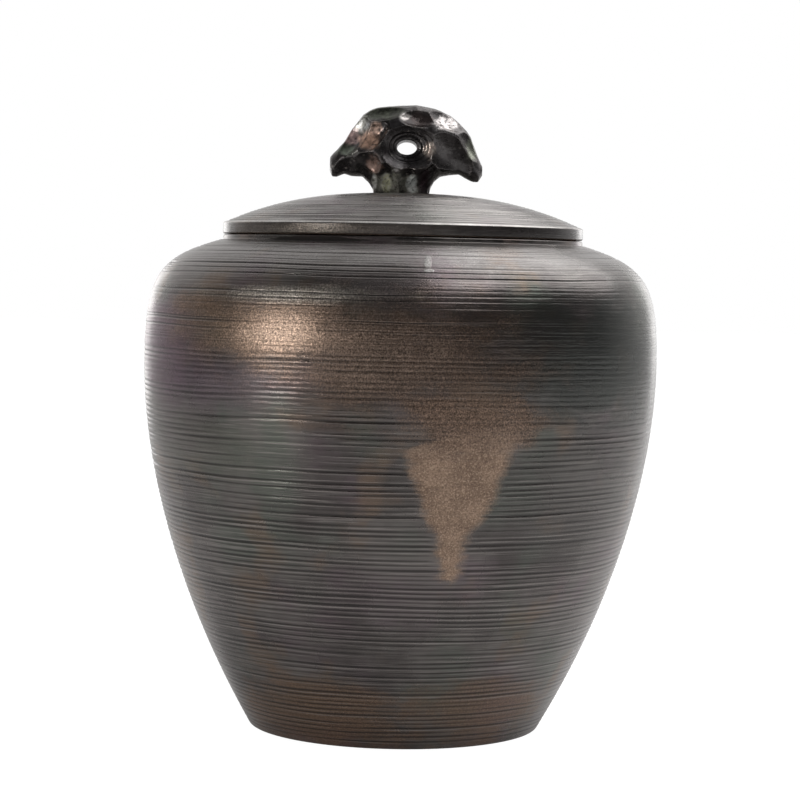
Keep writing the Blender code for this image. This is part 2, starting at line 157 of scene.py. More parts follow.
class Turning:
    """Outlines of radius and height, and the turned pieces made from them."""

    @staticmethod
    def lengths(points: Outline) -> np.ndarray:
        """How far along an outline each of its points lies."""
        return np.concatenate([[0], np.cumsum([(b - a).length for a, b in zip(points, points[1:])])])

    @staticmethod
    def spaced(points: Outline, step: float) -> Outline:
        """Lay points at an even spacing along an outline.

        Args:
            points: The outline to follow.
            step: The wished distance between points.

        Returns:
            The new points, with both ends kept.
        """
        lengths = Turning.lengths(points)
        wanted = np.linspace(0, lengths[-1], max(1, round(lengths[-1] / step)) + 1)
        radii = np.interp(wanted, lengths, [p.x for p in points])
        heights = np.interp(wanted, lengths, [p.z for p in points])
        return [point(r, h) for r, h in zip(radii, heights)]

    @staticmethod
    def rounded(points: Outline, radii: dict[int, float], steps: int) -> Outline:
        """Round chosen corners of an outline.

        Args:
            points: The outline's corners.
            radii: The radius of each corner to round, by its index.
            steps: The number of facets of each arc.

        Returns:
            The outline with its arcs.
        """
        outline = []
        for index, corner in enumerate(points):
            if index not in radii:
                outline.append(corner)
                continue
            before = points[index - 1] - corner
            after = points[(index + 1) % len(points)] - corner
            half = before.angle(after) / 2
            reach = min(radii[index] / math.tan(half), before.length / 2, after.length / 2)
            first = corner + before.normalized() * reach
            last = corner + after.normalized() * reach
            # A corner's arc leaves and meets its sides as a quarter of a circle does
            pull = 4 / 3 * math.tan((math.pi / 2 - half) / 2) * math.tan(half)
            handles = first.lerp(corner, pull), last.lerp(corner, pull)
            outline.extend(interpolate_bezier(first, *handles, last, steps + 1))
        return outline

    @staticmethod
    def beside(points: Outline, distance: float) -> Outline:
        """Move an outline sideways, to the left as it climbs.

        Args:
            points: The outline.
            distance: How far it moves.

        Returns:
            The moved outline.
        """
        moved = []
        for index, place in enumerate(points):
            along = (points[min(index + 1, len(points) - 1)] - points[max(index - 1, 0)]).normalized()
            moved.append(place + Vector((-along.z, 0, along.x)) * distance)
        return moved

    @staticmethod
    def turn(name: str, outline: Outline, steps: int, closed: bool = False) -> Piece:
        """Spin an outline about the upright axis.

        Args:
            name: The piece's name.
            outline: The points to spin.
            steps: The number of steps round.
            closed: Whether the outline runs back to its start.

        Returns:
            The turned piece.
        """
        Bench.clear()
        bpy.ops.curve.primitive_bezier_curve_add(location=(0, 0, 0))
        drawn = bpy.context.object
        drawn.data.splines.clear()
        line = drawn.data.splines.new("POLY")
        line.points.add(len(outline) - 1)
        line.use_cyclic_u = closed
        for knot, place in zip(line.points, outline):
            knot.co = (*place, 1)
        bpy.ops.object.convert(target="MESH")
        piece = bpy.context.object
        piece.name = name
        piece.data.name = name
        with Bench.editing(piece):
            bpy.ops.mesh.spin(steps=steps, angle=math.tau, center=(0, 0, 0), axis=(0, 0, 1))
            bpy.ops.mesh.select_all(action="SELECT")
            bpy.ops.mesh.remove_doubles(threshold=WELD)
            bpy.ops.mesh.normals_make_consistent(inside=False)
        return piece


@dataclass(frozen=True)
class Comb:
    """One pass of a toothed comb round a turned surface."""

    low: float
    high: float
    pitch: float
    depth: float
    seed: int
    uneven: float
    sway: float = 0.28 * MM
    fade: float = 2.2 * MM
    widths: tuple[float, float] = (0.20, 0.28)
    presses: tuple[float, ...] = (0.7, 0.85, 1.0, 1.0, 1.15)


@dataclass(frozen=True)
class Pool:
    """A place in millimetres where thick glaze half fills the combed lines."""

    centre: Triple
    reach: Triple
    fill: float

    def cover(self, places: np.ndarray) -> np.ndarray:
        """How far the glaze fills the lines at each point, from 0 to 1."""
        away = (places / MM - np.array(self.centre)) / np.array(self.reach)
        return self.fill * np.exp(-np.sum(away ** 2, axis=1) ** 1.5)


@dataclass(frozen=True)
class Flow:
    """A run of thick pale glaze down the front of the jar."""

    # Height, left edge and right edge in millimetres, from the run's tip up
    rows: tuple[Triple, ...] = (
        (66, 19, 20), (69, 16, 22.8), (77, 14.7, 24.1), (84, 14.3, 24.8), (90, 9.6, 31), (101, 7, 35.9),
        (110, 3.8, 38.6), (115.5, 3.4, 40.6), (121, 22, 45.8), (125, 40, 47))
    soft_edge: float = 4 * MM

    @cached_property
    def edges(self) -> np.ndarray:
        """The heights, the left edges and the right edges, in metres."""
        return np.array(self.rows).T * MM

    def cover(self, places: np.ndarray) -> np.ndarray:
        """How far the run covers each point, from 0 to 1.

        Args:
            places: The points.

        Returns:
            A number for each point.
        """
        heights, lefts, rights = self.edges
        left, right = (np.interp(places[:, 2], heights, edge) for edge in (lefts, rights))
        within = (places[:, 2] > heights[0]) & (places[:, 2] < heights[-1]) & (places[:, 1] < 0)
        inside = np.minimum(places[:, 0] - left, right - places[:, 0]) / self.soft_edge
        return np.clip(inside + 0.5, 0, 1) * within


class Combing:
    """Presses combed lines into a turned piece, and notes them for its glaze."""

    LINE = "combed"
    LIT_EDGE = "lit_edge"
    # Where a highlight is painted beside each line: how far off and how wide, in widths of the line
    BURR_AWAY, BURR_WIDTH = 1.75, 0.62
    # How much slow and quick changes in the press of the hand count, and how much thick glaze fills
    SLOW, QUICK, FILLED = 0.22, 0.12, 0.85
    SLOW_TURNS, QUICK_TURNS = (1, 4), (5, 11)
    # How high each wave of the lines is, how many there are round the piece, how it leans and starts
    WAVES = ((1.0, 2, 55, 0.0), (0.6, 3, -90, 1.3), (0.35, 7, 140, 0.4), (0.2, 13, 260, 0.0))
    HAND_SEED = 7
    DEEPEST = 1.5

    def __init__(self, outline: Outline, combs: tuple[Comb, ...]) -> None:
        """Work out how deep each point of the outline is pressed.

        Args:
            outline: The outline that the piece was turned from.
            combs: The passes of the comb, each on its own stretch.
        """
        self.outline = outline
        self.groove, self.lit_edge, self.depth, self.sway = np.zeros((4, len(outline)))
        self.line = np.zeros(len(outline), dtype=int)
        self.lines = 0
        for comb in combs:
            self.draw(comb, Turning.lengths(outline))
        dice = random.Random(self.HAND_SEED)
        self.turns = np.array([[dice.randint(*self.SLOW_TURNS), dice.uniform(0, math.tau),
                                dice.randint(*self.QUICK_TURNS), dice.uniform(0, math.tau)]
                               for _ in range(self.lines + 1)])

    def draw(self, comb: Comb, along: np.ndarray) -> None:
        """Draw the lines of one pass.

        Args:
            comb: The pass.
            along: How far along the outline each of its points lies.
        """
        inside = (comb.low <= along) & (along <= comb.high)
        dice = random.Random(comb.seed)
        middle = comb.low + comb.pitch / 2
        while middle < comb.high:
            self.lines += 1
            width = comb.pitch * dice.uniform(*comb.widths)
            press = dice.choice(comb.presses)
            shape = press * np.exp(-((along - middle) / width) ** 2) * inside
            near = inside & (np.abs(along - middle) < comb.pitch)
            self.line[near & (shape >= self.groove)] = self.lines
            self.groove = np.maximum(self.groove, shape)
            # The band beside the line where the glaze is painted lighter, as a highlight
            lit_edge_offset = (along - middle + self.BURR_AWAY * width) / (self.BURR_WIDTH * width)
            self.lit_edge = np.maximum(self.lit_edge, press * np.exp(-lit_edge_offset ** 2) * inside)
            middle += comb.pitch * (1 + dice.uniform(-comb.uneven, comb.uneven))
        self.depth[inside] = comb.depth
        edge = np.minimum(along - comb.low, comb.high - along) / comb.fade
        self.sway[inside] = comb.sway * np.clip(edge[inside], 0, 1)

    def press(self, piece: Piece, filled: tuple[Flow | Pool, ...] = ()) -> None:
        """Press the lines into a piece, and note for its glaze their depth and where a highlight is painted
        beside each.

        Args:
            piece: The turned piece.
            filled: The runs and pools of thick glaze that fill the lines.
        """
        mesh = piece.data
        places = np.empty(len(mesh.vertices) * 3)
        mesh.vertices.foreach_get("co", places)
        places = places.reshape(-1, 3)
        radius = np.hypot(places[:, 0], places[:, 1])
        angle = np.arctan2(places[:, 0], -places[:, 1])
        rows = self.rows(radius, places[:, 2])
        tangent = np.gradient(np.array([(p.x, p.z) for p in self.outline]), axis=0)
        tangent /= np.linalg.norm(tangent, axis=1)[:, None] + 1e-12
        tangent = tangent[rows]
        turns = self.turns[self.line[rows]]
        strength = (1 - self.SLOW + self.SLOW * np.sin(turns[:, 0] * angle + turns[:, 1])
                    + self.QUICK * np.sin(turns[:, 2] * angle + turns[:, 3]))
        for thick in filled:
            strength = strength * (1 - self.FILLED * thick.cover(places))
        groove = self.groove[rows] * strength
        slide = self.sway[rows] * sum(high * np.sin(count * angle + places[:, 2] * lean + start)
                                      for high, count, lean, start in self.WAVES)
        inwards = self.depth[rows] * groove
        out = places[:, :2] / np.maximum(radius, WELD)[:, None]
        # The outline climbs with the clay on its left, so the left of the tangent points inwards
        places[:, :2] += out * (tangent[:, 0] * slide - tangent[:, 1] * inwards)[:, None]
        places[:, 2] += tangent[:, 1] * slide + tangent[:, 0] * inwards
        mesh.vertices.foreach_set("co", places.ravel())
        for name, value in ((self.LINE, groove), (self.LIT_EDGE, self.lit_edge[rows] * strength)):
            noted = mesh.attributes.new(name, "FLOAT", "POINT")
            noted.data.foreach_set("value", np.clip(value, 0, self.DEEPEST))
        mesh.update()

    def rows(self, radii: np.ndarray, heights: np.ndarray) -> np.ndarray:
        """Find the outline's point that each vertex was turned from.

        Args:
            radii: How far out the vertices lie.
            heights: How high they lie.

        Returns:
            The index of a point of the outline for each vertex.
        """
        tree = KDTree(len(self.outline))
        for index, place in enumerate(self.outline):
            tree.insert(place, index)
        tree.balance()
        return np.array([tree.find(point(r, h))[1] for r, h in zip(radii, heights)])


def shade(colour: Triple, gain: float) -> Triple:
    """Make a colour darker or lighter, up to nearly white."""
    return tuple(min(part * gain, 0.9) for part in colour)


class Nodes:
    """Sets out nodes in the tree of a material or a world."""

    def __init__(self, tree: bpy.types.NodeTree, coordinates: str = "Object") -> None:
        """Start on a tree.

        Args:
            tree: The tree to add to.
            coordinates: Which coordinates its patterns lie in.
        """
        self.tree = tree
        self.place = self.add("ShaderNodeTexCoord").outputs[coordinates]

    def add(self, kind: str, *values: object, **settings: object) -> bpy.types.Node:
        """Add a node.

        Args:
            kind: The node's type.
            values: What its inputs take, from the first on.
            settings: Its own settings.

        Returns:
            The node.
        """
        node = self.tree.nodes.new(kind)
        for name, value in settings.items():
            setattr(node, name, value)
        for socket, value in zip(node.inputs, values):
            self.feed(socket, value)
        return node

    def feed(self, socket: Socket, value: object) -> None:
        """Link a socket to another, or give it a plain value.

        Args:
            socket: The socket to feed.
            value: Another socket, a number, a colour or a vector.
        """
        if isinstance(value, bpy.types.NodeSocket):
            self.tree.links.new(value, socket)
        elif isinstance(value, tuple) and len(socket.default_value) == 4:
            socket.default_value = (*value, 1.0)
        else:
            socket.default_value = value

    def fill(self, inputs: bpy.types.NodeInputs, **values: object) -> None:
        """Feed a node's sockets by name, in small letters."""
        for name, value in values.items():
            self.feed(inputs[name.replace("_", " ").title().replace("Ior", "IOR")], value)

    def sum(self, operation: str, *values: object) -> Socket:
        """Work out one number from others."""
        return self.add("ShaderNodeMath", *values, operation=operation).outputs[0]

    def times(self, first: object, second: object) -> Socket:
        """Multiply two numbers."""
        return self.sum("MULTIPLY", first, second)

    def axes(self) -> bpy.types.NodeOutputs:
        """The three coordinates of a place."""
        return self.add("ShaderNodeSeparateXYZ", self.place).outputs

    def ray(self, kind: str) -> Socket:
        """Whether light is traced for one kind of ray."""
        return self.add("ShaderNodeLightPath").outputs[f"Is {kind} Ray"]

    def span(self, value: Socket, low: float, high: float,
             to_low: float = 0.0, to_high: float = 1.0) -> Socket:
        """Turn a number's range from low to high softly into the range from to_low to to_high."""
        return self.add("ShaderNodeMapRange", value, low, high, to_low, to_high,
                        interpolation_type="SMOOTHSTEP").outputs[0]


class Palette(Nodes):
    """Sets out the nodes of one finish."""

    def __init__(self, name: str) -> None:
        """Start a material with its shader.

        Args:
            name: The material's name.
        """
        self.material = bpy.data.materials.new(name)
        self.material.use_nodes = True
        super().__init__(self.material.node_tree)
        self.shader = self.tree.nodes["Principled BSDF"]

    def cloud(self, size: float, detail: float = 3.0, rough: float = 0.55, flat: float = 1.0,
              shift: Triple = (0.0, 0.0, 0.0)) -> Socket:
        """A soft random pattern.

        Args:
            size: The size of its patches.
            detail: How many finer layers it has.
            rough: How strong the finer layers are.
            flat: How many times lower than wide its patches are.
            shift: Where it starts.

        Returns:
            A number about one half.
        """
        mapping = self.add("ShaderNodeMapping")
        self.fill(mapping.inputs, vector=self.place, location=shift, scale=(1 / size, 1 / size, flat / size))
        pattern = self.add("ShaderNodeTexNoise")
        self.fill(pattern.inputs, vector=mapping.outputs[0], scale=1.0, detail=detail, roughness=rough)
        return pattern.outputs["Fac"]

    def mix(self, share: object, first: object, second: object) -> Socket:
        """Mix two colours.

        Args:
            share: How much of the second colour there is, from 0 to 1.
            first: The first colour.
            second: The second colour.

        Returns:
            The mixed colour.
        """
        node = self.add("ShaderNodeMix", share, data_type="RGBA")
        self.feed(node.inputs[6], first)
        self.feed(node.inputs[7], second)
        return node.outputs[2]

    def layered(self, colour: object, *layers: tuple[Socket, float, float, float, Triple]) -> Socket:
        """Lay colours over one another, each where its pattern passes through a range.

        Args:
            colour: The ground.
            layers: For each layer its pattern, where the range starts and ends, the most
                that the layer covers, and its colour.

        Returns:
            The colour of all layers together.
        """
        for pattern, low, high, most, tint in layers:
            colour = self.mix(self.span(pattern, low, high, 0.0, most), colour, tint)
        return colour

    def specked(self, tint: object, specks: tuple[Socket, Socket], grain: float,
                colours: tuple[Triple, Triple]) -> Socket:
        """Strew light and dark specks over a colour.

        Args:
            tint: The colour.
            specks: The patterns of the light and of the dark specks.
            grain: How strong the specks are.
            colours: Their two colours.

        Returns:
            The colour with its specks.
        """
        for speck, colour in zip(specks, colours):
            tint = self.mix(self.times(speck, grain), tint, colour)
        return tint

    def blot(self, bloom_and_light: "BloomAndLight", ragged: Socket) -> Socket:
        """A soft patch at one place, with a ragged edge.

        Args:
            bloom_and_light: The patch.
            ragged: A pattern about one half that frays the edge.

        Returns:
            A number that is 1 in the patch and 0 past it.
        """
        centre, reach = (tuple(v * MM for v in triple) for triple in (bloom_and_light.centre, bloom_and_light.reach))
        away = self.add("ShaderNodeVectorMath", self.place, centre, operation="SUBTRACT").outputs[0]
        share = self.add("ShaderNodeVectorMath", away, reach, operation="DIVIDE").outputs[0]
        far = self.add("ShaderNodeVectorMath", share, operation="LENGTH").outputs["Value"]
        frayed = self.sum("ADD", far, self.times(self.sum("SUBTRACT", ragged, 0.5), bloom_and_light.FRAY))
        return self.span(frayed, bloom_and_light.EDGE - bloom_and_light.soft, bloom_and_light.EDGE + bloom_and_light.soft, 1.0, 0.0)

    def along(self, value: Socket, places: np.ndarray, numbers: np.ndarray,
              limits: tuple[float, float]) -> Socket:
        """Read a number from a line drawn through places.

        Args:
            value: Where to read it.
            places: The places of the line's points.
            numbers: The number at each of them.
            limits: Two values that all numbers lie between.

        Returns:
            The number.
        """
        first, last = float(places[0]), float(places[-1])
        low, high = limits
        node = self.add("ShaderNodeFloatCurve")
        curve = node.mapping.curves[0]
        knots = [((p - first) / (last - first), (n - low) / (high - low)) for p, n in zip(places, numbers)]
        curve.points[0].location = knots[0]
        curve.points[1].location = knots[-1]
        for knot in knots[1:-1]:
            curve.points.new(*knot)
        for knot in curve.points:
            knot.handle_type = "VECTOR"
        node.mapping.update()
        self.fill(node.inputs, value=self.add("ShaderNodeMapRange", value, first, last).outputs[0])
        return self.sum("MULTIPLY_ADD", node.outputs[0], high - low, low)

    def relief(self, *layers: tuple[Socket, float]) -> None:
        """Give the surface a fine relief.

        Args:
            layers: The height and the depth in metres of each layer.
        """
        total: object = 0.0
        for height, depth in layers:
            total = self.sum("MULTIPLY_ADD", height, depth / MM, total)
        bump = self.add("ShaderNodeBump")
        self.fill(bump.inputs, strength=1.0, distance=MM, height=total)
        self.fill(self.shader.inputs, normal=bump.outputs[0])

    def surface(self, node: bpy.types.Node) -> None:
        """Let a node stand in for the shader on the surface."""
        self.feed(self.tree.nodes["Material Output"].inputs["Surface"], node.outputs[0])

    def finish(self, **sockets: object) -> Material:
        """Feed the shader's sockets by name and give back the material."""
        self.fill(self.shader.inputs, **sockets)
        return self.material


@dataclass(frozen=True)
class BloomAndLight:
    """A patch of another colour, with its place in millimetres: glaze broken to that colour in some, a
    painted highlight or painted shade in others.
    """

    FRAY = 1.6
    EDGE = 0.8

    centre: Triple
    reach: Triple
    colour: Triple
    strength: float
    grain: float = 0.6
    matte: float = 0.0
    soft: float = 0.35


@dataclass(frozen=True)
class CombedGlaze:
    """Gunmetal glaze over combed lines, broken to bronze in patches, with painted highlights and painted
    shade in some.
    """

    name: str
    light: Triple = (0.123, 0.112, 0.106)
    dark: Triple = (0.061, 0.053, 0.051)
    plum: Triple = (0.130, 0.083, 0.108)
    moss: Triple = (0.077, 0.094, 0.076)
    rust: Triple = (0.150, 0.102, 0.070)
    sand: tuple[Triple, Triple] = ((0.190, 0.121, 0.080), (0.290, 0.193, 0.132))
    sand_specks: tuple[Triple, Triple] = ((0.48, 0.35, 0.25), (0.085, 0.052, 0.036))
    blooms_and_light: tuple[BloomAndLight, ...] = ()
    flow: Flow | None = None
    metallic: float = 0.72
    sand_metallic: float = 0.40
    roughness: float = 0.25
    coat: float = 0.10

    def make(self) -> Material:
        """Set out the glaze's nodes.

        Returns:
            The glaze's material.
        """
        palette = Palette(self.name)
        broad = palette.cloud(46 * MM, 4, 0.6)
        drift = palette.cloud(36 * MM, 3, 0.5, shift=(3.1, 1.7, 5.2))
        fleck = palette.cloud(24 * MM, 3, 0.5, shift=(8.8, 3.6, 0.2))
        streak = palette.cloud(38 * MM, 5, 0.65, flat=26, shift=(1.3, 4.4, 0.9))
        thread = palette.cloud(34 * MM, 3, 0.6, flat=56, shift=(5.3, 0.4, 2.9))
        grit = palette.cloud(0.60 * MM, 2, 0.6)
        ragged = palette.cloud(17 * MM, 5, 0.62, flat=1.8, shift=(7.7, 2.1, 3.3))
        colour = palette.layered(
            self.dark, (broad, 0.35, 0.65, 1.0, self.light), (drift, 0.50, 0.72, 0.55, self.plum),
            (drift, 0.48, 0.30, 0.6, self.moss), (fleck, 0.54, 0.68, 0.6, self.rust),
            (streak, 0.42, 0.30, 0.45, self.dark), (streak, 0.56, 0.72, 0.35, shade(self.light, 1.7)),
            (thread, 0.54, 0.64, 0.5, shade(self.light, 1.9)))

        specks = palette.span(grit, 0.53, 0.65), palette.span(grit, 0.47, 0.36)
        grain: object = 0.10
        dull: object = 0.0
        for bloom_and_light in self.blooms_and_light:
            patch = palette.blot(bloom_and_light, ragged)
            if bloom_and_light.matte:
                dull = palette.sum("MAXIMUM", dull, palette.times(patch, bloom_and_light.matte))
            colours = shade(bloom_and_light.colour, 2.2), shade(bloom_and_light.colour, 0.3)
            tint = palette.specked(bloom_and_light.colour, specks, bloom_and_light.grain, colours)
            colour = palette.mix(palette.times(patch, bloom_and_light.strength), colour, tint)
            grain = palette.sum("MAXIMUM", grain, palette.times(patch, bloom_and_light.grain))
        metal: object = self.metallic
        if self.flow:
            run = self.run(palette)
            dark_sand, light_sand = self.sand
            sifted = palette.cloud(11 * MM, 4, 0.6, flat=1.4)
            sandy = palette.layered(dark_sand, (sifted, 0.35, 0.62, 1.0, light_sand))
            sandy = palette.specked(sandy, specks, 0.6, self.sand_specks)
            colour = palette.mix(palette.times(run, 0.92), colour, sandy)
            grain = palette.sum("MAXIMUM", grain, palette.times(run, 0.8))
            metal = palette.sum("MULTIPLY_ADD", run, self.sand_metallic - self.metallic, self.metallic)
        # Painted highlight along the edge beside each line; the lines darken, partly as dark glaze pooled in
        # them and partly as painted shade
        lit_edge, combed = (palette.add("ShaderNodeAttribute", attribute_name=name).outputs["Fac"]
                         for name in (Combing.LIT_EDGE, Combing.LINE))
        colour = palette.layered(colour, (lit_edge, 0.25, 0.95, 0.42, shade(self.light, 2.3)),
                                 (combed, 0.15, 0.75, 0.76, shade(self.dark, 0.3)))

        rough = palette.span(broad, 0.3, 0.7, self.roughness - 0.05, self.roughness + 0.06)
        rough = palette.sum("ADD", rough, palette.times(grain, 0.12))
        palette.relief((palette.cloud(7 * MM, 3, 0.5, flat=5), 0.10 * MM),
                       (palette.times(grit, grain), 0.16 * MM), (thread, 0.07 * MM),
                       (palette.cloud(1.6 * MM, 3, 0.6, flat=3), 0.035 * MM))
        shine: object = 0.5
        coat: object = self.coat
        if isinstance(dull, Socket):
            rough = palette.sum("MULTIPLY_ADD", dull, 0.5, rough)
            shine = palette.sum("MULTIPLY_ADD", dull, -0.4, shine)
            coat = palette.sum("MULTIPLY_ADD", dull, -coat, coat)
        return palette.finish(base_color=colour, roughness=rough, metallic=metal, specular_ior_level=shine,
                              specular_tint=(0.82, 0.80, 0.79), coat_weight=coat, coat_roughness=0.25)

    def run(self, palette: Palette) -> Socket:
        """Find where the run of thick glaze lies.

        Args:
            palette: The glaze's nodes.

        Returns:
            How far the run covers each point.
        """
        wobble = palette.times(palette.sum("SUBTRACT", palette.cloud(7 * MM, 5, 0.65, flat=2.2), 0.5), 9 * MM)
        across, depth, up = palette.axes()
        height = palette.sum("ADD", up, palette.times(wobble, 0.7))
        side = palette.sum("ADD", across, wobble)
        heights, lefts, rights = self.flow.edges
        left, right = (palette.along(height, heights, edge, (-10 * MM, 60 * MM)) for edge in (lefts, rights))
        sides = palette.sum("SUBTRACT", side, left), palette.sum("SUBTRACT", right, side)
        cover = palette.span(palette.sum("MINIMUM", *sides), -2.5 * MM, 3.0 * MM)
        tip, top = float(heights[0]), float(heights[-1])
        for value, low, high in ((height, tip - 3 * MM, tip + 3 * MM), (height, top + 2 * MM, top - 16 * MM),
                                 (depth, 0.0, -5 * MM)):
            cover = palette.times(cover, palette.span(value, low, high))
        return cover


@dataclass(frozen=True)
class KnobGlaze:
    """Thick dark glaze on the carved knob, with copper where it runs thin, and painted highlights and painted
    shade on its facets, flutes and hollows.
    """

    name: str = "knob_glaze"
    light: Triple = (0.10, 0.094, 0.093)
    dark: Triple = (0.034, 0.030, 0.031)
    worn_and_lit: Triple = (0.36, 0.33, 0.31)
    pooled_and_shaded: Triple = (0.014, 0.012, 0.012)
    # Patches on the knob: most are painted highlights and painted shade, the rest its glaze's copper, brown
    # and green
    blooms_and_light: tuple[BloomAndLight, ...] = (
        # Painted shade over the top and just above the eye
        BloomAndLight((8, -8, 238), (24, 14, 7), (0.034, 0.031, 0.031), 0.75, 0.3),
        BloomAndLight((-3, -10, 234.5), (8, 8, 3.2), (0.026, 0.024, 0.025), 0.85, 0.2),
        # Painted highlights on the left facets, silver above and pink below
        BloomAndLight((-17.2, -8, 234.4), (3.6, 12, 4.6), (0.56, 0.56, 0.52), 0.85, 0.9, 0.3),
        BloomAndLight((-21, -8, 229.5), (4, 12, 3.5), (0.46, 0.33, 0.32), 0.8, 0.9, 0.3),
        BloomAndLight((-22.5, -8, 224.5), (5, 12, 2.6), (0.11, 0.13, 0.10), 0.75, 0.4),
        BloomAndLight((-14.2, -12, 228.2), (4.2, 14, 4.2), (0.52, 0.33, 0.245), 0.85, 0.8),
        BloomAndLight((-11.3, -12, 232.6), (2.4, 14, 3.0), (0.50, 0.35, 0.28), 0.8, 0.8),
        BloomAndLight((-11.5, -12, 218.5), (3.6, 14, 4.5), (0.26, 0.170, 0.138), 0.85, 0.7, 0.4),
        BloomAndLight((-9, -6, 239), (11, 14, 4), (0.060, 0.066, 0.050), 0.75, 0.7),
        BloomAndLight((6, -9, 236.5), (6.5, 12, 3.4), (0.062, 0.046, 0.044), 0.7, 0.2),
        # Painted highlights on the top scoop, on the right facet of the top and along the right wing's edge
        BloomAndLight((0.2, -9, 237.6), (2.4, 8, 1.6), (0.60, 0.56, 0.54), 0.8, 0.4),
        BloomAndLight((15.8, -7, 235.2), (5.2, 14, 3.4), (0.50, 0.47, 0.46), 0.9, 1.0),
        BloomAndLight((26, -6, 226), (3, 10, 6), (0.20, 0.21, 0.17), 0.7, 0.5),
        # Painted shade in the eye's bowl, then a painted highlight on its rings
        BloomAndLight((0, -12, 221.5), (10, 8, 4.5), (0.020, 0.018, 0.020), 0.85, 0.1),
        BloomAndLight((9.3, -12, 224.8), (2.4, 8, 3.8), (0.60, 0.49, 0.43), 0.85, 0.5),
        # Painted light on the stalk: a lighter band, highlights on two flutes and the left edge, and a small
        # crescent above
        BloomAndLight((-3, -9, 211.5), (11, 10, 5.5), (0.25, 0.25, 0.215), 0.75, 0.9, 0.9),
        BloomAndLight((-6.9, -9, 211.4), (2.2, 8, 4.6), (0.80, 0.80, 0.56), 0.95, 0.6, 1.0),
        BloomAndLight((3.2, -9, 211.4), (2.3, 8, 4.2), (0.72, 0.76, 0.74), 0.95, 0.7, 1.0),
        BloomAndLight((-11.6, -6, 213.0), (1.2, 8, 3.2), (0.55, 0.55, 0.50), 0.85, 0.9, 1.0),
        BloomAndLight((-3.4, -12, 216.7), (1.6, 6, 0.7), (0.50, 0.48, 0.47), 0.9, 0.3, 0.6),
        BloomAndLight((7.6, -8, 213), (2.6, 8, 6), (0.040, 0.025, 0.030), 0.9, 0.2))

    def make(self) -> Material:
        """Set out the glaze's nodes.

        Returns:
            The glaze's material.
        """
        palette = Palette(self.name)
        ragged = palette.cloud(4 * MM, 5, 0.65, shift=(2.2, 6.1, 4.0))
        mottle = palette.cloud(1.9 * MM, 4, 0.65, shift=(4.1, 0.7, 8.3))
        colour = palette.layered(self.dark, (palette.cloud(11 * MM, 4, 0.6), 0.36, 0.66, 1.0, self.light))
        specks = palette.span(mottle, 0.50, 0.62), palette.span(mottle, 0.48, 0.36)
        metal: object = 0.7
        for bloom_and_light in self.blooms_and_light:
            patch = palette.times(palette.blot(bloom_and_light, ragged), bloom_and_light.strength)
            colours = shade(bloom_and_light.colour, 1.8), shade(bloom_and_light.colour, 0.3)
            tint = palette.specked(bloom_and_light.colour, specks, bloom_and_light.grain, colours)
            colour = palette.mix(patch, colour, tint)
            if bloom_and_light.matte:
                metal = palette.sum("SUBTRACT", metal, palette.times(patch, 0.7 * bloom_and_light.matte))
        # Lighter on the sharp ridges, where the glaze runs thin and a highlight is painted along them; darker
        # in the creases, where glaze pools and shade is painted
        edge = palette.add("ShaderNodeNewGeometry").outputs["Pointiness"]
        colour = palette.layered(
            colour, (mottle, 0.44, 0.34, 0.5, self.dark), (edge, 0.52, 0.56, 0.6, self.worn_and_lit),
            (edge, 0.485, 0.44, 0.6, self.pooled_and_shaded))
        rough = palette.span(palette.cloud(6 * MM, 4, 0.6, shift=(9.0, 1.0, 2.0)), 0.3, 0.7, 0.20, 0.36)
        palette.relief((palette.cloud(3.2 * MM, 4, 0.6), 0.22 * MM), (mottle, 0.10 * MM),
                       (palette.cloud(0.7 * MM, 2, 0.6), 0.02 * MM))
        return palette.finish(base_color=colour, roughness=rough, metallic=palette.sum("MAXIMUM", metal, 0.0),
                              specular_tint=(0.55, 0.53, 0.52), coat_weight=0.12, coat_roughness=0.15)


@dataclass(frozen=True)
class LinerGlaze:
    """Plain dark glaze inside the jar and under the lid."""

    name: str
    colours: tuple[Triple, Triple] = ((0.045, 0.038, 0.034), (0.085, 0.073, 0.064))
    freckle: Triple = (0.16, 0.12, 0.09)

    def make(self) -> Material:
        """Set out the glaze's nodes.

        Returns:
            The glaze's material.
        """
        palette = Palette(self.name)
        broad = palette.cloud(24 * MM, 4, 0.6, flat=3)
        dark, light = self.colours
        colour = palette.layered(dark, (broad, 0.35, 0.65, 1.0, light),
                                 (palette.cloud(1.4 * MM, 3, 0.6), 0.66, 0.74, 0.5, self.freckle))
        rough = palette.span(broad, 0.3, 0.7, 0.30, 0.42)
        palette.relief((palette.cloud(9 * MM, 3, 0.5, flat=6), 0.12 * MM),
                       (palette.cloud(1.0 * MM, 2, 0.5), 0.012 * MM))
        return palette.finish(base_color=colour, roughness=rough, metallic=0.25)


@dataclass(frozen=True)
class BareClay:
    """Dark stoneware where the glaze was wiped off."""

    name: str
    colours: tuple[Triple, Triple] = ((0.085, 0.055, 0.038), (0.165, 0.112, 0.078))
    pale_grog: Triple = (0.30, 0.23, 0.17)
    dark_grog: Triple = (0.035, 0.026, 0.020)

    def make(self) -> Material:
        """Set out the clay's nodes.

        Returns:
            The clay's material.
        """
        palette = Palette(self.name)
        broad = palette.cloud(13 * MM, 5, 0.65)
        grog = palette.cloud(0.9 * MM, 3, 0.7)
        dark, light = self.colours
        colour = palette.layered(
            dark, (broad, 0.32, 0.68, 1.0, light), (grog, 0.60, 0.72, 0.6, self.pale_grog),
            (grog, 0.36, 0.28, 0.6, self.dark_grog))
        rough = palette.span(broad, 0.3, 0.7, 0.72, 0.88)
        palette.relief((grog, 0.10 * MM), (palette.cloud(5 * MM, 3, 0.6), 0.12 * MM))
        return palette.finish(base_color=colour, roughness=rough, metallic=0.0)


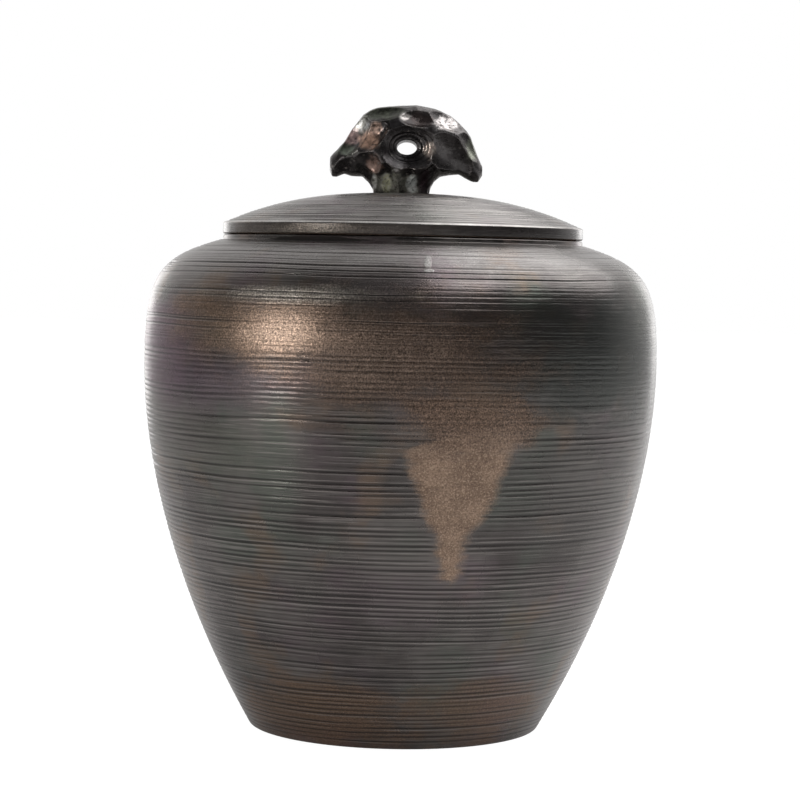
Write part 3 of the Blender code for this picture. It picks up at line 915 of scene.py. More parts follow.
@dataclass(frozen=True)
class ClearSilicone:
    """Milky soft silicone of the sealing ring."""

    name: str
    colours: tuple[Triple, Triple] = ((0.68, 0.68, 0.64), (0.80, 0.80, 0.77))
    dust: Triple = (0.5, 0.48, 0.42)

    def make(self) -> Material:
        """Set out the rubber's nodes.

        Returns:
            The rubber's material.
        """
        palette = Palette(self.name)
        broad = palette.cloud(14 * MM, 3, 0.5)
        dark, light = self.colours
        colour = palette.layered(dark, (broad, 0.3, 0.7, 1.0, light),
                                 (palette.cloud(0.9 * MM, 2, 0.5), 0.66, 0.76, 0.35, self.dust))
        rough = palette.span(broad, 0.3, 0.7, 0.42, 0.55)
        palette.relief((palette.cloud(1.8 * MM, 3, 0.5, flat=4), 0.02 * MM))
        return palette.finish(base_color=colour, roughness=rough, subsurface_weight=0.25,
                              subsurface_scale=2 * MM)


Finish = CombedGlaze | KnobGlaze | LinerGlaze | BareClay | ClearSilicone


def dress(piece: Piece, finishes: tuple[Finish, ...],
          coat: Callable[[Vector, Vector], Coat] | None = None) -> None:
    """Give a piece its finishes, and each face the one that it wears.

    Args:
        piece: The piece to dress.
        finishes: The finishes, in the order of Coat.
        coat: Says which of them a face wears, by its middle and the way it faces.
    """
    for finish in finishes:
        piece.data.materials.append(finish.make())
    if coat:
        for face in piece.data.polygons:
            face.material_index = coat(face.center, face.normal)


@dataclass
class Jar:
    """The thrown jar with its combed outer side."""

    foot_radius: float = 56.5 * MM
    foot_round: float = 1.6 * MM
    foot_ring: float = 7.5 * MM
    foot_recess: float = 3.0 * MM
    recess_round: float = 1.2 * MM
    ring_round: float = 0.8 * MM
    belly: Vector = field(default_factory=lambda: point(100 * MM, 143 * MM))
    neck: Vector = field(default_factory=lambda: point(71 * MM, 188.9 * MM))
    collar_height: float = 1.9 * MM
    collar_step: float = 0.9 * MM
    wall: float = 6.0 * MM
    floor: float = 8.5 * MM
    floor_round: float = 9.0 * MM
    throat_radius: float = 62.0 * MM
    throat_depth: float = 9.5 * MM
    mouth_rounds: tuple[float, ...] = (0.3 * MM, 0.7 * MM, 0.9 * MM, 2.0 * MM)
    # How far the handles of the two curves reach, as shares of each curve's width and height
    flank_handles: Triple = (0.68, 0.353, 0.283)
    shoulder_handles: Triple = (0.686, 0.834, 0.153)
    # How coarse the outline is on the flank, on the shoulder and on flat faces
    flank_step: float = 0.35 * MM
    shoulder_step: float = 0.22 * MM
    flat_step: float = 8.0 * MM
    shoulder_reach: float = 54.0 * MM
    steps: int = 104
    flow: Flow = field(default_factory=Flow)
    pools: tuple[Pool, ...] = (
        Pool((74, -58, 147), (58, 84, 26), 0.95),
        Pool((-38, -86, 161), (32, 40, 8), 0.8),
        Pool((10.5, -84, 182), (3.0, 20, 8), 0.7),
        Pool((14, -98, 146), (34, 40, 18), 0.7),
        Pool((-46, -84, 130), (32, 40, 30), 0.5),
        Pool((-76, -60, 142), (34, 54, 16), 0.6),
        Pool((26, -96, 126), (26, 40, 12), 0.8))
    # Patches of colour on the jar: glaze broken to bronze, brown, plum and moss, and the painted highlights
    # and painted shade marked below
    blooms_and_light: tuple[BloomAndLight, ...] = (
        # Painted highlight: the glaze made lighter all round the shoulder, so the panel's highlight there
        # shows brighter
        BloomAndLight((0, 0, 182), (130, 130, 9), (0.185, 0.176, 0.170), 0.75, 0.25),
        BloomAndLight((-88, -40, 150), (22, 60, 20), (0.115, 0.070, 0.094), 0.85, 0.3),
        BloomAndLight((-70, -60, 112), (26, 50, 14), (0.086, 0.090, 0.072), 0.4, 0.2),
        BloomAndLight((-62, -72, 139), (34, 50, 13), (0.120, 0.086, 0.108), 0.6, 0.3, soft=0.6),
        # Painted shade: darker down the far right edge of the flank
        BloomAndLight((98, -20, 138), (34, 60, 28), (0.036, 0.036, 0.034), 0.85, 0.2, soft=0.7),
        # Painted shade: the dark zone on the right below the shoulder's highlight, whose top edge also cuts
        # that highlight off
        BloomAndLight((68, -62, 146), (58, 80, 27), (0.041, 0.045, 0.042), 0.85, 0.1),
        BloomAndLight((0, -90, 171), (34, 40, 7), (0.200, 0.172, 0.172), 0.7, 0.3, soft=0.7),
        BloomAndLight((-58, -52, 182), (32, 44, 8), (0.130, 0.122, 0.118), 0.6, 0.25, soft=0.7),
        BloomAndLight((66, -62, 98), (38, 50, 30), (0.075, 0.072, 0.068), 0.6, 0.2, soft=0.7),
        BloomAndLight((-2, -98, 147), (58, 46, 25), (0.094, 0.062, 0.046), 0.85, 0.75, soft=0.5),
        BloomAndLight((-54, -78, 157), (38, 46, 16), (0.165, 0.112, 0.078), 0.85, 0.75, soft=0.6),
        BloomAndLight((-76, -60, 165.5), (12, 40, 4), (0.170, 0.110, 0.075), 0.6, 0.6),
        BloomAndLight((-16, -94, 152), (32, 46, 17), (0.178, 0.127, 0.098), 0.8, 0.8, soft=0.65),
        # Painted highlight: the middle of the bronze patch and its small hot core made lighter where the left
        # lamp's highlight falls
        BloomAndLight((-42, -86, 155), (21, 40, 7), (0.29, 0.206, 0.153), 0.9, 0.9, soft=0.75),
        BloomAndLight((-44, -86, 155), (16, 40, 3.6), (0.40, 0.292, 0.222), 0.6, 0.8, soft=0.8),
        BloomAndLight((-38, -84, 169.5), (36, 40, 3.4), (0.32, 0.30, 0.265), 0.7, 1.0, soft=0.6),
        BloomAndLight((9.0, -86, 181), (1.7, 14, 3.6), (0.28, 0.29, 0.27), 0.38, 1.0),
        BloomAndLight((9.6, -89, 178.6), (2.4, 10, 0.6), (0.45, 0.45, 0.43), 0.5, 0.8),
        BloomAndLight((26, -98, 124), (30, 40, 14), (0.145, 0.095, 0.068), 0.75, 0.9),
        BloomAndLight((-30, -52, 12), (44, 44, 20), (0.168, 0.104, 0.066), 0.75, 0.4),
        BloomAndLight((30, -56, 16), (36, 40, 14), (0.142, 0.088, 0.056), 0.7, 0.4),
        # Painted shade: a dark band on the collar under the lid's rim
        BloomAndLight((0, 0, 190.0), (86, 86, 0.9), (0.022, 0.020, 0.019), 0.95, 0.1, soft=0.15),
        # Painted highlight: a pale line along the top edge of the collar
        BloomAndLight((0, 0, 190.85), (86, 86, 0.36), (0.22, 0.20, 0.19), 0.9, 0.2),
        # Painted shade under the lid's rim on the left, matte so that the lamp's reflection there is gone
        BloomAndLight((-30, -62, 189.2), (30, 40, 1.6), (0.024, 0.022, 0.021), 0.9, 0.1, 1.0, soft=0.15),
        BloomAndLight((70, 60, 120), (40, 40, 34), (0.26, 0.185, 0.13), 0.7, 0.5),
        BloomAndLight((-60, 74, 80), (40, 40, 30), (0.24, 0.165, 0.11), 0.6, 0.4))

    @cached_property
    def mouth(self) -> float:
        """Height of the mouth."""
        return self.neck.z + self.collar_height

    @cached_property
    def side(self) -> Outline:
        """The outer side.

        Returns:
            Its outline from the foot up to the neck.
        """
        foot = point(self.foot_radius, 0)
        out, low, high = self.flank_handles
        leaving = foot + point((self.belly.x - self.foot_radius) * out, self.belly.z * low)
        meeting = self.belly - point(0, self.belly.z * high)
        flank = interpolate_bezier(foot, leaving, meeting, self.belly, 240)
        low, out, high = self.shoulder_handles
        rise = self.neck.z - self.belly.z
        leaving = self.belly + point(0, rise * low)
        meeting = self.neck + point((self.belly.x - self.neck.x) * out, -rise * high)
        shoulder = interpolate_bezier(self.belly, leaving, meeting, self.neck, 160)
        return Turning.spaced(flank, self.flank_step) + Turning.spaced(shoulder, self.shoulder_step)[1:]

    @cached_property
    def profile(self) -> np.ndarray:
        """Heights and radii of the outer side."""
        return np.array([(p.z, p.x) for p in self.side]).T

    def foot(self) -> Outline:
        """The recess, the foot ring and the round at its outer edge.

        Returns:
            Their outline from the middle out.
        """
        ring = self.foot_radius - self.foot_ring
        corners = [point(0, self.foot_recess), point(ring, self.foot_recess), point(ring, 0),
                   self.side[0], self.side[12]]
        rounds = {1: self.recess_round, 2: self.ring_round, 3: self.foot_round}
        foot = Turning.rounded(corners, rounds, 5)[:-1]
        return Turning.spaced(foot[:2], self.flat_step)[:-1] + foot[1:]

    def inside(self) -> tuple[Outline, Outline]:
        """The inner wall and the floor.

        Returns:
            The wall from the top down, and the floor from the wall to the middle.
        """
        top = self.mouth - self.throat_depth
        wall = [p for p in Turning.beside(self.side[::10], self.wall) if self.floor + 7 * MM < p.z < top]
        fall = (wall[0].z - self.floor) / (wall[3].z - wall[0].z)
        corner = wall[0] + (wall[0] - wall[3]) * fall
        floor = Turning.rounded([wall[0], corner, point(0, self.floor)], {1: self.floor_round}, 8)[1:]
        return wall[::-1], floor[:-1] + Turning.spaced(floor[-2:], 9 * MM)[1:]

    def outline(self) -> tuple[Outline, float, float]:
        """The whole outline from the foot's underside to the middle of the floor.

        Returns:
            The outline, and how far along it the outer side starts and ends.
        """
        foot = self.foot()
        body = [p for p in self.side if p.z > foot[-1].z + 0.05 * MM]
        wall, floor = self.inside()
        collar = self.neck.x - self.collar_step
        corners = [body[-1], point(collar, self.neck.z), point(collar, self.mouth),
                   point(self.throat_radius, self.mouth),
                   point(self.throat_radius, self.mouth - self.throat_depth), wall[0]]
        top = Turning.rounded(corners, dict(enumerate(self.mouth_rounds, 1)), 5)[1:-1]
        outline = foot + body + top + wall + floor
        along = Turning.lengths(outline)
        return outline, along[len(foot) + 1], along[len(foot) + len(body) - 1]

    def coat(self, place: Vector, normal: Vector) -> Coat:
        """Choose what a face wears.

        Args:
            place: The middle of the face.
            normal: The way that it faces.

        Returns:
            Clay under the foot, the liner inside, and else the glaze.
        """
        radius = math.hypot(place.x, place.y)
        inwards = place.x * normal.x + place.y * normal.y <= 0
        in_recess = inwards and radius < self.foot_radius and place.z < self.foot_recess + 0.1 * MM
        if place.z < 0.4 * MM or in_recess:
            return Coat.CLAY
        upright = self.foot_recess + 1 * MM < place.z < self.mouth - 0.3 * MM and normal.z < 0.99
        if upright and (inwards or radius < self.throat_radius + 0.4 * MM):
            return Coat.LINER if radius < np.interp(place.z, *self.profile) - 2 * MM else Coat.GLAZE
        return Coat.LINER if place.z < self.floor + 0.1 * MM and normal.z > 0.9 else Coat.GLAZE

    def build(self) -> Piece:
        """Turn the jar, comb it and give it its glazes.

        Returns:
            The finished jar.
        """
        outline, start, end = self.outline()
        jar = Turning.turn("combed_jar", outline, self.steps)
        shoulder = end - self.shoulder_reach
        combs = (
            Comb(low=start + 1.2 * MM, high=shoulder - 1.0 * MM, pitch=1.96 * MM, depth=0.25 * MM, seed=11,
                 uneven=0.12),
            Comb(low=shoulder, high=end - 0.8 * MM, pitch=1.2 * MM, depth=0.20 * MM, seed=23, uneven=0.4,
                 sway=0.34 * MM, widths=(0.20, 0.34), presses=(0.2, 0.3, 0.45, 0.7, 1.0, 1.4)))
        Combing(outline, combs).press(jar, (self.flow, *self.pools))
        glaze = CombedGlaze("jar_glaze", flow=self.flow, blooms_and_light=self.blooms_and_light)
        dress(jar, (glaze, LinerGlaze("liner_glaze"), BareClay("bare_stoneware")), self.coat)
        Bench.settle(jar, 60)
        return jar


@dataclass
class Lid:
    """The thrown lid with its combed crown."""

    radius: float = 70.2 * MM
    underside: float = 191.15 * MM
    rim: float = 4.3 * MM
    rim_round: float = 0.7 * MM
    rise: float = 12.8 * MM
    power: float = 2.6
    seat: float = 12.5 * MM
    wall: float = 6.0 * MM
    flange_radius: float = 59.8 * MM
    flange_wall: float = 5.0 * MM
    flange_depth: float = 10.0 * MM
    flange_round: float = 1.0 * MM
    shoulder_round: float = 0.6 * MM
    under_round: float = 3.0 * MM
    groove_radius: float = 58.2 * MM
    groove_top: float = 189.55 * MM
    groove_height: float = 6.6 * MM
    crown_step: float = 0.30 * MM
    steps: int = 112
    glazes: tuple[CombedGlaze, CombedGlaze] = (
        # The crown wears a lighter copy of the jar's glaze, as painted light on its upward face, with a
        # painted highlight ring along the rim's top edge
        CombedGlaze("lid_glaze", light=(0.178, 0.169, 0.161), dark=(0.095, 0.088, 0.084), metallic=0.75,
                    blooms_and_light=(BloomAndLight((0, 0, 195.6), (110, 110, 0.5), (0.50, 0.48, 0.46), 0.8, 0.2),)),
        # The rim wears a darker copy, as painted shade on its upright band, darkest on the right, with a
        # painted highlight speckled on the left
        CombedGlaze("lid_rim_shaded_glaze", light=(0.098, 0.086, 0.081), dark=(0.050, 0.042, 0.040),
                    plum=(0.056, 0.040, 0.048), moss=(0.038, 0.044, 0.038), rust=(0.060, 0.044, 0.034),
                    metallic=0.45, roughness=0.20, blooms_and_light=(
                        BloomAndLight((48, -40, 193), (44, 60, 6), (0.020, 0.017, 0.017), 0.85, 0.3),
                        BloomAndLight((-32, -60, 193), (34, 34, 3), (0.115, 0.097, 0.078), 0.75, 1.0, soft=0.75))))

    @cached_property
    def inner(self) -> float:
        """Inner radius of the flange."""
        return self.flange_radius - self.flange_wall

    def crown(self, radius: float) -> float:
        """Height of the upper face at a radius."""
        share = max(radius, self.seat) / self.radius
        return self.underside + self.rim + self.rise * (1 - share ** self.power)

    def outline(self) -> tuple[Outline, float]:
        """The whole outline from the middle of the crown to the middle of the underside.

        Returns:
            The outline, and about how far along it the crown ends.
        """
        crown = [point(r, self.crown(r)) for r in np.linspace(self.seat, self.radius, 200)]
        crown = Turning.spaced(crown, self.crown_step)
        under = [point(r, self.crown(r) - self.wall) for r in np.linspace(self.inner, 0, 12)]
        foot = self.underside - self.flange_depth
        groove_foot = self.groove_top - self.groove_height
        corners = [
            crown[-4], point(self.radius, self.underside + self.rim), point(self.radius, self.underside),
            point(self.flange_radius, self.underside), point(self.flange_radius, self.groove_top),
            point(self.groove_radius, self.groove_top), point(self.groove_radius, groove_foot),
            point(self.flange_radius, groove_foot), point(self.flange_radius, foot),
            point(self.inner, foot), under[0], under[1]]
        rounds = {1: self.rim_round, 2: self.rim_round, 3: self.shoulder_round,
                  8: self.flange_round, 9: self.flange_round, 10: self.under_round}
        edge = Turning.rounded(corners, rounds, 6)
        middle = Turning.spaced([point(0, crown[0].z), crown[0]], 3 * MM)
        return middle[:-1] + crown[:-4] + edge[:-1] + under[1:], len(crown) * self.crown_step + self.seat

    def coat(self, place: Vector, normal: Vector) -> Coat:
        """Choose what a face wears.

        Args:
            place: The middle of the face.
            normal: The way that it faces.

        Returns:
            Clay on the seat and the flange, the liner under the crown, the rim's glaze in painted shade, or
            the crown's in painted light.
        """
        radius = math.hypot(place.x, place.y)
        if place.z < self.underside + 0.2 * MM and radius > self.inner - 0.5 * MM:
            return Coat.CLAY
        if radius <= self.inner and normal.z < 0:
            return Coat.LINER
        on_rim = radius > self.radius - 0.4 * MM and place.z < self.underside + self.rim - 0.35 * MM
        return Coat.RIM if on_rim else Coat.GLAZE

    def build(self) -> Piece:
        """Turn the lid, comb its crown and give it its glazes.

        Returns:
            The finished lid.
        """
        outline, end = self.outline()
        lid = Turning.turn("combed_lid", outline, self.steps)
        comb = Comb(low=self.seat + 1.5 * MM, high=end - 1.2 * MM, pitch=1.55 * MM, depth=0.34 * MM, seed=5,
                    uneven=0.3, sway=0.2 * MM)
        combing = Combing(outline, (comb,))
        # This outline runs down its outer side, so it is pressed from the other side
        combing.depth *= -1
        combing.press(lid)
        crown, rim = self.glazes
        dress(lid, (crown, LinerGlaze("lid_liner"), BareClay("bare_flange"), rim), self.coat)
        Bench.settle(lid, 50)
        return lid


@dataclass
class Seal:
    """The soft ring with three lips in the lid's groove."""

    inner: float = 58.5 * MM
    band: float = 1.6 * MM
    tip: float = 61.7 * MM
    top: float = 189.25 * MM
    height: float = 6.0 * MM
    lips: int = 3
    # How far the lip droops and how thick its root and its tip are, as shares of the lips' pitch
    droop: float = 0.25
    root_half: float = 0.31
    tip_half: float = 0.11
    edge_round: float = 0.3 * MM
    root_round: float = 0.2 * MM
    tip_round: float = 0.15 * MM
    steps: int = 96

    def build(self) -> Piece:
        """Turn the ring and give it its rubber.

        Returns:
            The finished ring.
        """
        outer = self.inner + self.band
        pitch = self.height / self.lips
        corners = [(self.inner, self.top, self.edge_round), (outer, self.top, self.edge_round)]
        for lip in range(self.lips):
            middle = self.top - pitch * (lip + 0.5)
            end = middle + pitch * self.droop
            corners += [(outer, middle + pitch * self.root_half, self.root_round),
                        (self.tip, end + pitch * self.tip_half, self.tip_round),
                        (self.tip, end - pitch * self.tip_half, self.tip_round),
                        (outer, middle - pitch * self.root_half, self.edge_round)]
        foot = self.top - self.height
        corners += [(outer, foot, self.edge_round), (self.inner, foot, self.edge_round)]
        rounds = {number: corner[2] for number, corner in enumerate(corners)}
        outline = Turning.rounded([point(radius, height) for radius, height, _ in corners], rounds, 4)
        ring = Turning.turn("lipped_seal", outline, self.steps, closed=True)
        dress(ring, (ClearSilicone("milky_silicone"),))
        Bench.settle(ring, 40)
        return ring


@dataclass(frozen=True)
class Scoop:
    """A hollow pared out of the knob with a round-nosed tool, in shares of the knob's sizes."""

    across: float
    up: float
    around: float
    tip: float
    length: float
    width: float
    depth: float
    lean: float


@dataclass(frozen=True)
class Eye:
    """The knob's eye, its bowl of stepped rings in front and the plain bowl at its back."""

    across: float = 0.031
    up: float = 0.512
    radius: float = 3.95 * MM
    rings: int = 3
    ring_pitch: float = 1.98 * MM
    ring_depth: float = 1.60 * MM
    ring_lip: float = 0.35
    sink: float = 1.0 * MM
    back_radius: float = 7.0 * MM
    back_depth: float = 3.2 * MM
    edge_round: float = 0.5 * MM
    eye_squash: float = 0.72
    bowl_squash: float = 0.76
    skew: float = 0.28
    over: float = 6.0 * MM


@dataclass
class Knob:
    """The hand-built knob, pared, fluted and pierced like a weathered root."""

    base: float = 208.406 * MM
    width: float = 59.0 * MM
    height: float = 33.97 * MM
    depth: float = 31.0 * MM
    power: float = 2.3
    stalk: float = 10.9 * MM
    flare: float = 4.3 * MM
    flare_height: float = 6.4 * MM
    flatness: float = 0.87
    aside: float = -0.95 * MM
    sink: float = 0.38 * MM
    voxel: float = 0.34 * MM
    dent_size: float = 4.5 * MM
    dent_millimetres: float = 0.10
    loop_size: int = 48
    tool_round: float = 0.20
    eye: Eye = field(default_factory=Eye)
    # Place across, underside, top and depth of each section, as shares
    sections: tuple[tuple[float, ...], ...] = (
        (-0.476, 0.240, 0.395, 0.24), (-0.460, 0.172, 0.430, 0.38), (-0.430, 0.168, 0.480, 0.47),
        (-0.380, 0.205, 0.580, 0.58), (-0.330, 0.180, 0.725, 0.72), (-0.261, 0.178, 0.885, 0.85),
        (-0.217, 0.110, 0.935, 0.91), (-0.190, 0.035, 0.955, 0.94), (-0.166, -0.12, 0.970, 0.96),
        (-0.100, -0.12, 0.985, 1.00), (0.000, -0.12, 1.000, 1.00), (0.090, -0.12, 1.005, 1.00),
        (0.167, -0.12, 0.985, 0.97), (0.192, 0.060, 0.975, 0.95), (0.215, 0.135, 0.965, 0.93),
        (0.255, 0.195, 0.940, 0.88), (0.317, 0.215, 0.890, 0.80), (0.376, 0.222, 0.805, 0.72),
        (0.424, 0.180, 0.725, 0.64), (0.450, 0.155, 0.655, 0.58), (0.470, 0.140, 0.560, 0.50),
        (0.505, 0.138, 0.410, 0.38), (0.531, 0.215, 0.320, 0.22))
    scoops: tuple[Scoop, ...] = (
        Scoop(-0.315, 0.640, 0, 0, 0.310, 0.200, 0.105, -27),
        Scoop(-0.195, 0.630, 0, 0, 0.280, 0.135, 0.095, -42),
        Scoop(-0.140, 0.905, 0, 0, 0.310, 0.165, 0.065, -77),
        Scoop(0.092, 0.850, 0, 0, 0.250, 0.140, 0.075, -97),
        Scoop(0.300, 0.830, 0, 0, 0.310, 0.180, 0.080, -119),
        Scoop(0.450, 0.540, 0, 0, 0.300, 0.150, 0.050, -150),
        Scoop(0.325, 0.440, 0, 0, 0.390, 0.225, 0.110, -148),
        Scoop(-0.205, 0.300, 0, 0, 0.170, 0.160, 0.075, 0),
        Scoop(0.045, 0.515, 0, 0, 0.290, 0.345, 0.120, 0),
        Scoop(-0.390, 0.290, 0, 0, 0.130, 0.140, 0.025, 0),
        Scoop(-0.165, 0.100, 0, 0, 0.220, 0.080, 0.040, 12),
        Scoop(-0.088, 0.160, 0, 0, 0.300, 0.105, 0.055, 0),
        Scoop(0.036, 0.160, 0, 0, 0.300, 0.100, 0.050, 0),
        Scoop(0.150, 0.190, 0, 0, 0.300, 0.085, 0.055, -25),
        Scoop(-0.280, 0.500, -125, 25, 0.290, 0.160, 0.075, 20),
        Scoop(-0.400, 0.300, -150, 5, 0.180, 0.120, 0.055, 70),
        Scoop(-0.150, 0.500, -165, 52, 0.250, 0.150, 0.065, 75),
        Scoop(0.130, 0.500, 170, 55, 0.260, 0.150, 0.065, -75),
        Scoop(-0.200, 0.560, 180, 0, 0.260, 0.140, 0.070, 30),
        Scoop(0.250, 0.560, 180, 0, 0.290, 0.150, 0.075, -25),
        Scoop(0.300, 0.500, 130, 30, 0.290, 0.155, 0.070, -25),
        Scoop(0.430, 0.280, 150, 5, 0.190, 0.120, 0.055, -65),
        Scoop(-0.230, 0.300, 180, 0, 0.200, 0.125, 0.055, 10),
        Scoop(0.270, 0.300, 180, 0, 0.200, 0.125, 0.055, -10),
        *(Scoop(across, 0.095, 180, 0, 0.215, 0.085, 0.045, 0) for across in (-0.110, -0.010, 0.100)))

    def loop(self, across: float, low: float, high: float, depth: float) -> list[Vector]:
        """One upright loop of the block, drawn in to the stalk low down.

        Args:
            across: The loop's place across the width.
            low: Its underside.
            high: Its top.
            depth: Its depth. All four are shares of the knob's sizes.

        Returns:
            The loop's points.
        """
        points = []
        place = across * self.width
        wing = min(max((abs(place) - self.stalk) / self.flare, 0), 1)
        for index in range(self.loop_size):
            angle = math.tau * index / self.loop_size
            waves = math.sin(angle), math.cos(angle)
            up, out = (math.copysign(abs(wave) ** (2 / self.power), wave) for wave in waves)
            height = ((low + high) / 2 + (high - low) / 2 * up) * self.height
            cap = self.depth / 2 * depth * out
            reach = self.stalk + self.flare * (max(height, 0) / self.flare_height) ** 2
            waist = self.flatness * math.sqrt(max(reach ** 2 - place ** 2, 0))
            drawn = min(abs(cap), max(waist, abs(cap) * 0.25))
            points.append(Vector((place, math.copysign(drawn + (abs(cap) - drawn) * wing, cap), height)))
        return points

    def block(self) -> Piece:
        """Bridge the uncarved block through its sections and cut it flat at its base.

        Returns:
            The block.
        """
        Bench.clear()
        bpy.ops.mesh.primitive_circle_add(vertices=self.loop_size, radius=MM, location=(0, 0, 0))
        block = bpy.context.object
        block.name = "carved_knob"
        shares = np.array(self.sections)
        wanted = np.sort(np.concatenate([shares[:, 0], (shares[1:, 0] + shares[:-1, 0]) / 2]))
        with Bench.editing(block):
            for number, across in enumerate(wanted):
                if number:
                    bpy.ops.mesh.select_all(action="DESELECT")
                    bpy.ops.mesh.primitive_circle_add(vertices=self.loop_size, radius=MM, location=(0, 0, 0))
                section = (np.interp(across, shares[:, 0], shares[:, column]) for column in (1, 2, 3))
                shape = bmesh.from_edit_mesh(block.data)
                ring = [v for v in shape.verts if v.select]
                for vertex, place in zip(ring, self.loop(across, *section)):
                    vertex.co = place
                bmesh.update_edit_mesh(block.data)
            for first in range(len(wanted) - 1):
                self.pick(block, (first, first + 1))
                bpy.ops.mesh.bridge_edge_loops()
            for end in (0, len(wanted) - 1):
                self.pick(block, (end,))
                bpy.ops.mesh.edge_face_add()
            bpy.ops.mesh.select_all(action="SELECT")
            bpy.ops.mesh.normals_make_consistent(inside=False)
            bpy.ops.mesh.bisect(plane_co=(0, 0, 0), plane_no=(0, 0, 1), use_fill=True, clear_inner=True)
        return block

    def pick(self, block: Piece, loops: tuple[int, ...]) -> None:
        """Select whole loops of the block.

        Args:
            block: The block in edit mode.
            loops: The numbers of the loops.
        """
        shape = bmesh.from_edit_mesh(block.data)
        shape.verts.ensure_lookup_table()
        for vertex in shape.verts:
            vertex.select = vertex.index // self.loop_size in loops
        shape.select_flush(True)
        for edge in shape.edges:
            first, second = (vertex.index // self.loop_size for vertex in edge.verts)
            edge.select = first == second and first in loops
        bmesh.update_edit_mesh(block.data)

    def pare(self, knob: Piece, skin: BVHTree, scoop: Scoop) -> None:
        """Sink one egg-shaped scoop into the knob.

        Args:
            knob: The piece that is cut.
            skin: The uncarved block's surface.
            scoop: The hollow to cut.
        """
        around, tip = math.radians(scoop.around), math.radians(scoop.tip)
        out = Vector((math.sin(around) * math.cos(tip), -math.cos(around) * math.cos(tip), math.sin(tip)))
        inside = Vector((scoop.across * self.width, 0, scoop.up * self.height))
        hit, normal, _, _ = skin.ray_cast(inside + out * self.width, -out)
        body = self.tool_round * self.height
        depth = scoop.depth * self.height
        narrowing = math.sqrt(1 - (1 - depth / body) ** 2)
        upright = Vector((0, 0, 1))
        along = (upright - normal * upright.dot(normal)).normalized()
        along.rotate(Quaternion(normal, math.radians(scoop.lean)))
        turn = Matrix((along.cross(normal), along, normal)).transposed()
        Bench.clear()
        bpy.ops.mesh.primitive_uv_sphere_add(
            segments=40, ring_count=20, radius=1, location=hit + normal * (body - depth),
            rotation=turn.to_euler(),
            scale=(scoop.width * self.height / narrowing, scoop.length * self.height / narrowing, body))
        self.cut(knob, bpy.context.object)

    def pierce(self, knob: Piece, skin: BVHTree) -> None:
        """Cut the eye with its two bowls.

        Args:
            knob: The piece that is cut.
            skin: The uncarved block's surface.
        """
        eye = self.eye
        across, up = eye.across * self.width, eye.up * self.height
        front, back = (skin.ray_cast(Vector((across, side * self.depth, up)), Vector((0, -side, 0)))[0].y
                       for side in (-1, 1))
        thick = back - front
        mouth = eye.radius + eye.rings * eye.ring_pitch
        floor = -eye.sink - eye.rings * eye.ring_depth
        corners = [point(0, eye.over), point(mouth + eye.over / 2, eye.over)]
        for ring in range(eye.rings):
            top, foot = (-eye.sink - step * eye.ring_depth for step in (ring, ring + 1))
            corners += [point(mouth - ring * eye.ring_pitch, top),
                        point(mouth - (ring + eye.ring_lip) * eye.ring_pitch, foot)]
        corners += [point(eye.radius, floor), point(eye.radius, eye.back_depth - thick),
                    point(eye.back_radius, -thick), point(eye.back_radius, -thick - eye.over),
                    point(0, -thick - eye.over)]
        rounds = {corner: eye.edge_round for corner in range(2, len(corners) - 2)}
        tool = Turning.turn("eye_tool", Turning.rounded(corners, rounds, 4), 64)
        for vertex in tool.data.vertices:
            vertex.co.y *= eye.bowl_squash if vertex.co.z > floor + 0.01 * MM else eye.eye_squash
            vertex.co.x += eye.skew * max(vertex.co.z - floor, 0)
        tool.rotation_euler = (math.pi / 2, 0, 0)
        tool.location = (across, front, up)
        Bench.take(tool)
        bpy.ops.object.transform_apply(location=True, rotation=True, scale=True)
        self.cut(knob, tool)

    @staticmethod
    def cut(knob: Piece, tool: Piece) -> None:
        """Cut the knob with a tool and put the tool away."""
        Bench.apply(knob, "BOOLEAN", object=tool, operation="DIFFERENCE", solver="EXACT")
        bpy.data.objects.remove(tool, do_unlink=True)

    def soften(self, knob: Piece) -> None:
        """Melt the carving under its glaze and leave the marks of the hand in it.

        Args:
            knob: The carved knob.
        """
        Bench.apply(knob, "REMESH", mode="VOXEL", voxel_size=self.voxel)
        Bench.apply(knob, "SMOOTH", factor=0.5, iterations=3)
        normals = [vertex.normal.copy() for vertex in knob.data.vertices]
        for vertex, normal in zip(knob.data.vertices, normals):
            low = min(max(vertex.co.z / (2 * MM), 0), 1)
            dent = noise.fractal(vertex.co / self.dent_size, 0.8, 2.0, 3)
            pushed = normal * dent * self.dent_millimetres * MM * low
            vertex.co += pushed - Vector((0, 0, self.sink * (1 - low)))
        knob.data.update()

    def build(self) -> Piece:
        """Carve the knob, set it on the lid and give it its glaze.

        Returns:
            The finished knob.
        """
        knob = self.block()
        skin = BVHTree.FromObject(knob, bpy.context.evaluated_depsgraph_get())
        for scoop in self.scoops:
            self.pare(knob, skin, scoop)
        self.pierce(knob, skin)
        self.soften(knob)
        knob.location = (self.aside, 0, self.base)
        dress(knob, (KnobGlaze(),))
        Bench.settle(knob, 180)
        return knob


@dataclass(frozen=True)
class Lamp:
    """A soft lamp: where it hangs and what it faces, in metres, its size, its watts and its colour."""

    name: str
    place: Triple
    aim: Triple
    size: tuple[float, float]
    power: float
    colour: Triple = (1.0, 1.0, 1.0)

    def hang(self) -> None:
        """Hang the lamp."""
        data = bpy.data.lights.new(self.name, "AREA")
        data.shape = "RECTANGLE"
        data.size, data.size_y = self.size
        data.energy = self.power
        data.color = self.colour
        lamp = bpy.data.objects.new(self.name, data)
        bpy.context.scene.collection.objects.link(lamp)
        lamp.location = self.place
        lamp.rotation_euler = (Vector(self.aim) - Vector(self.place)).to_track_quat("-Z", "Y").to_euler()


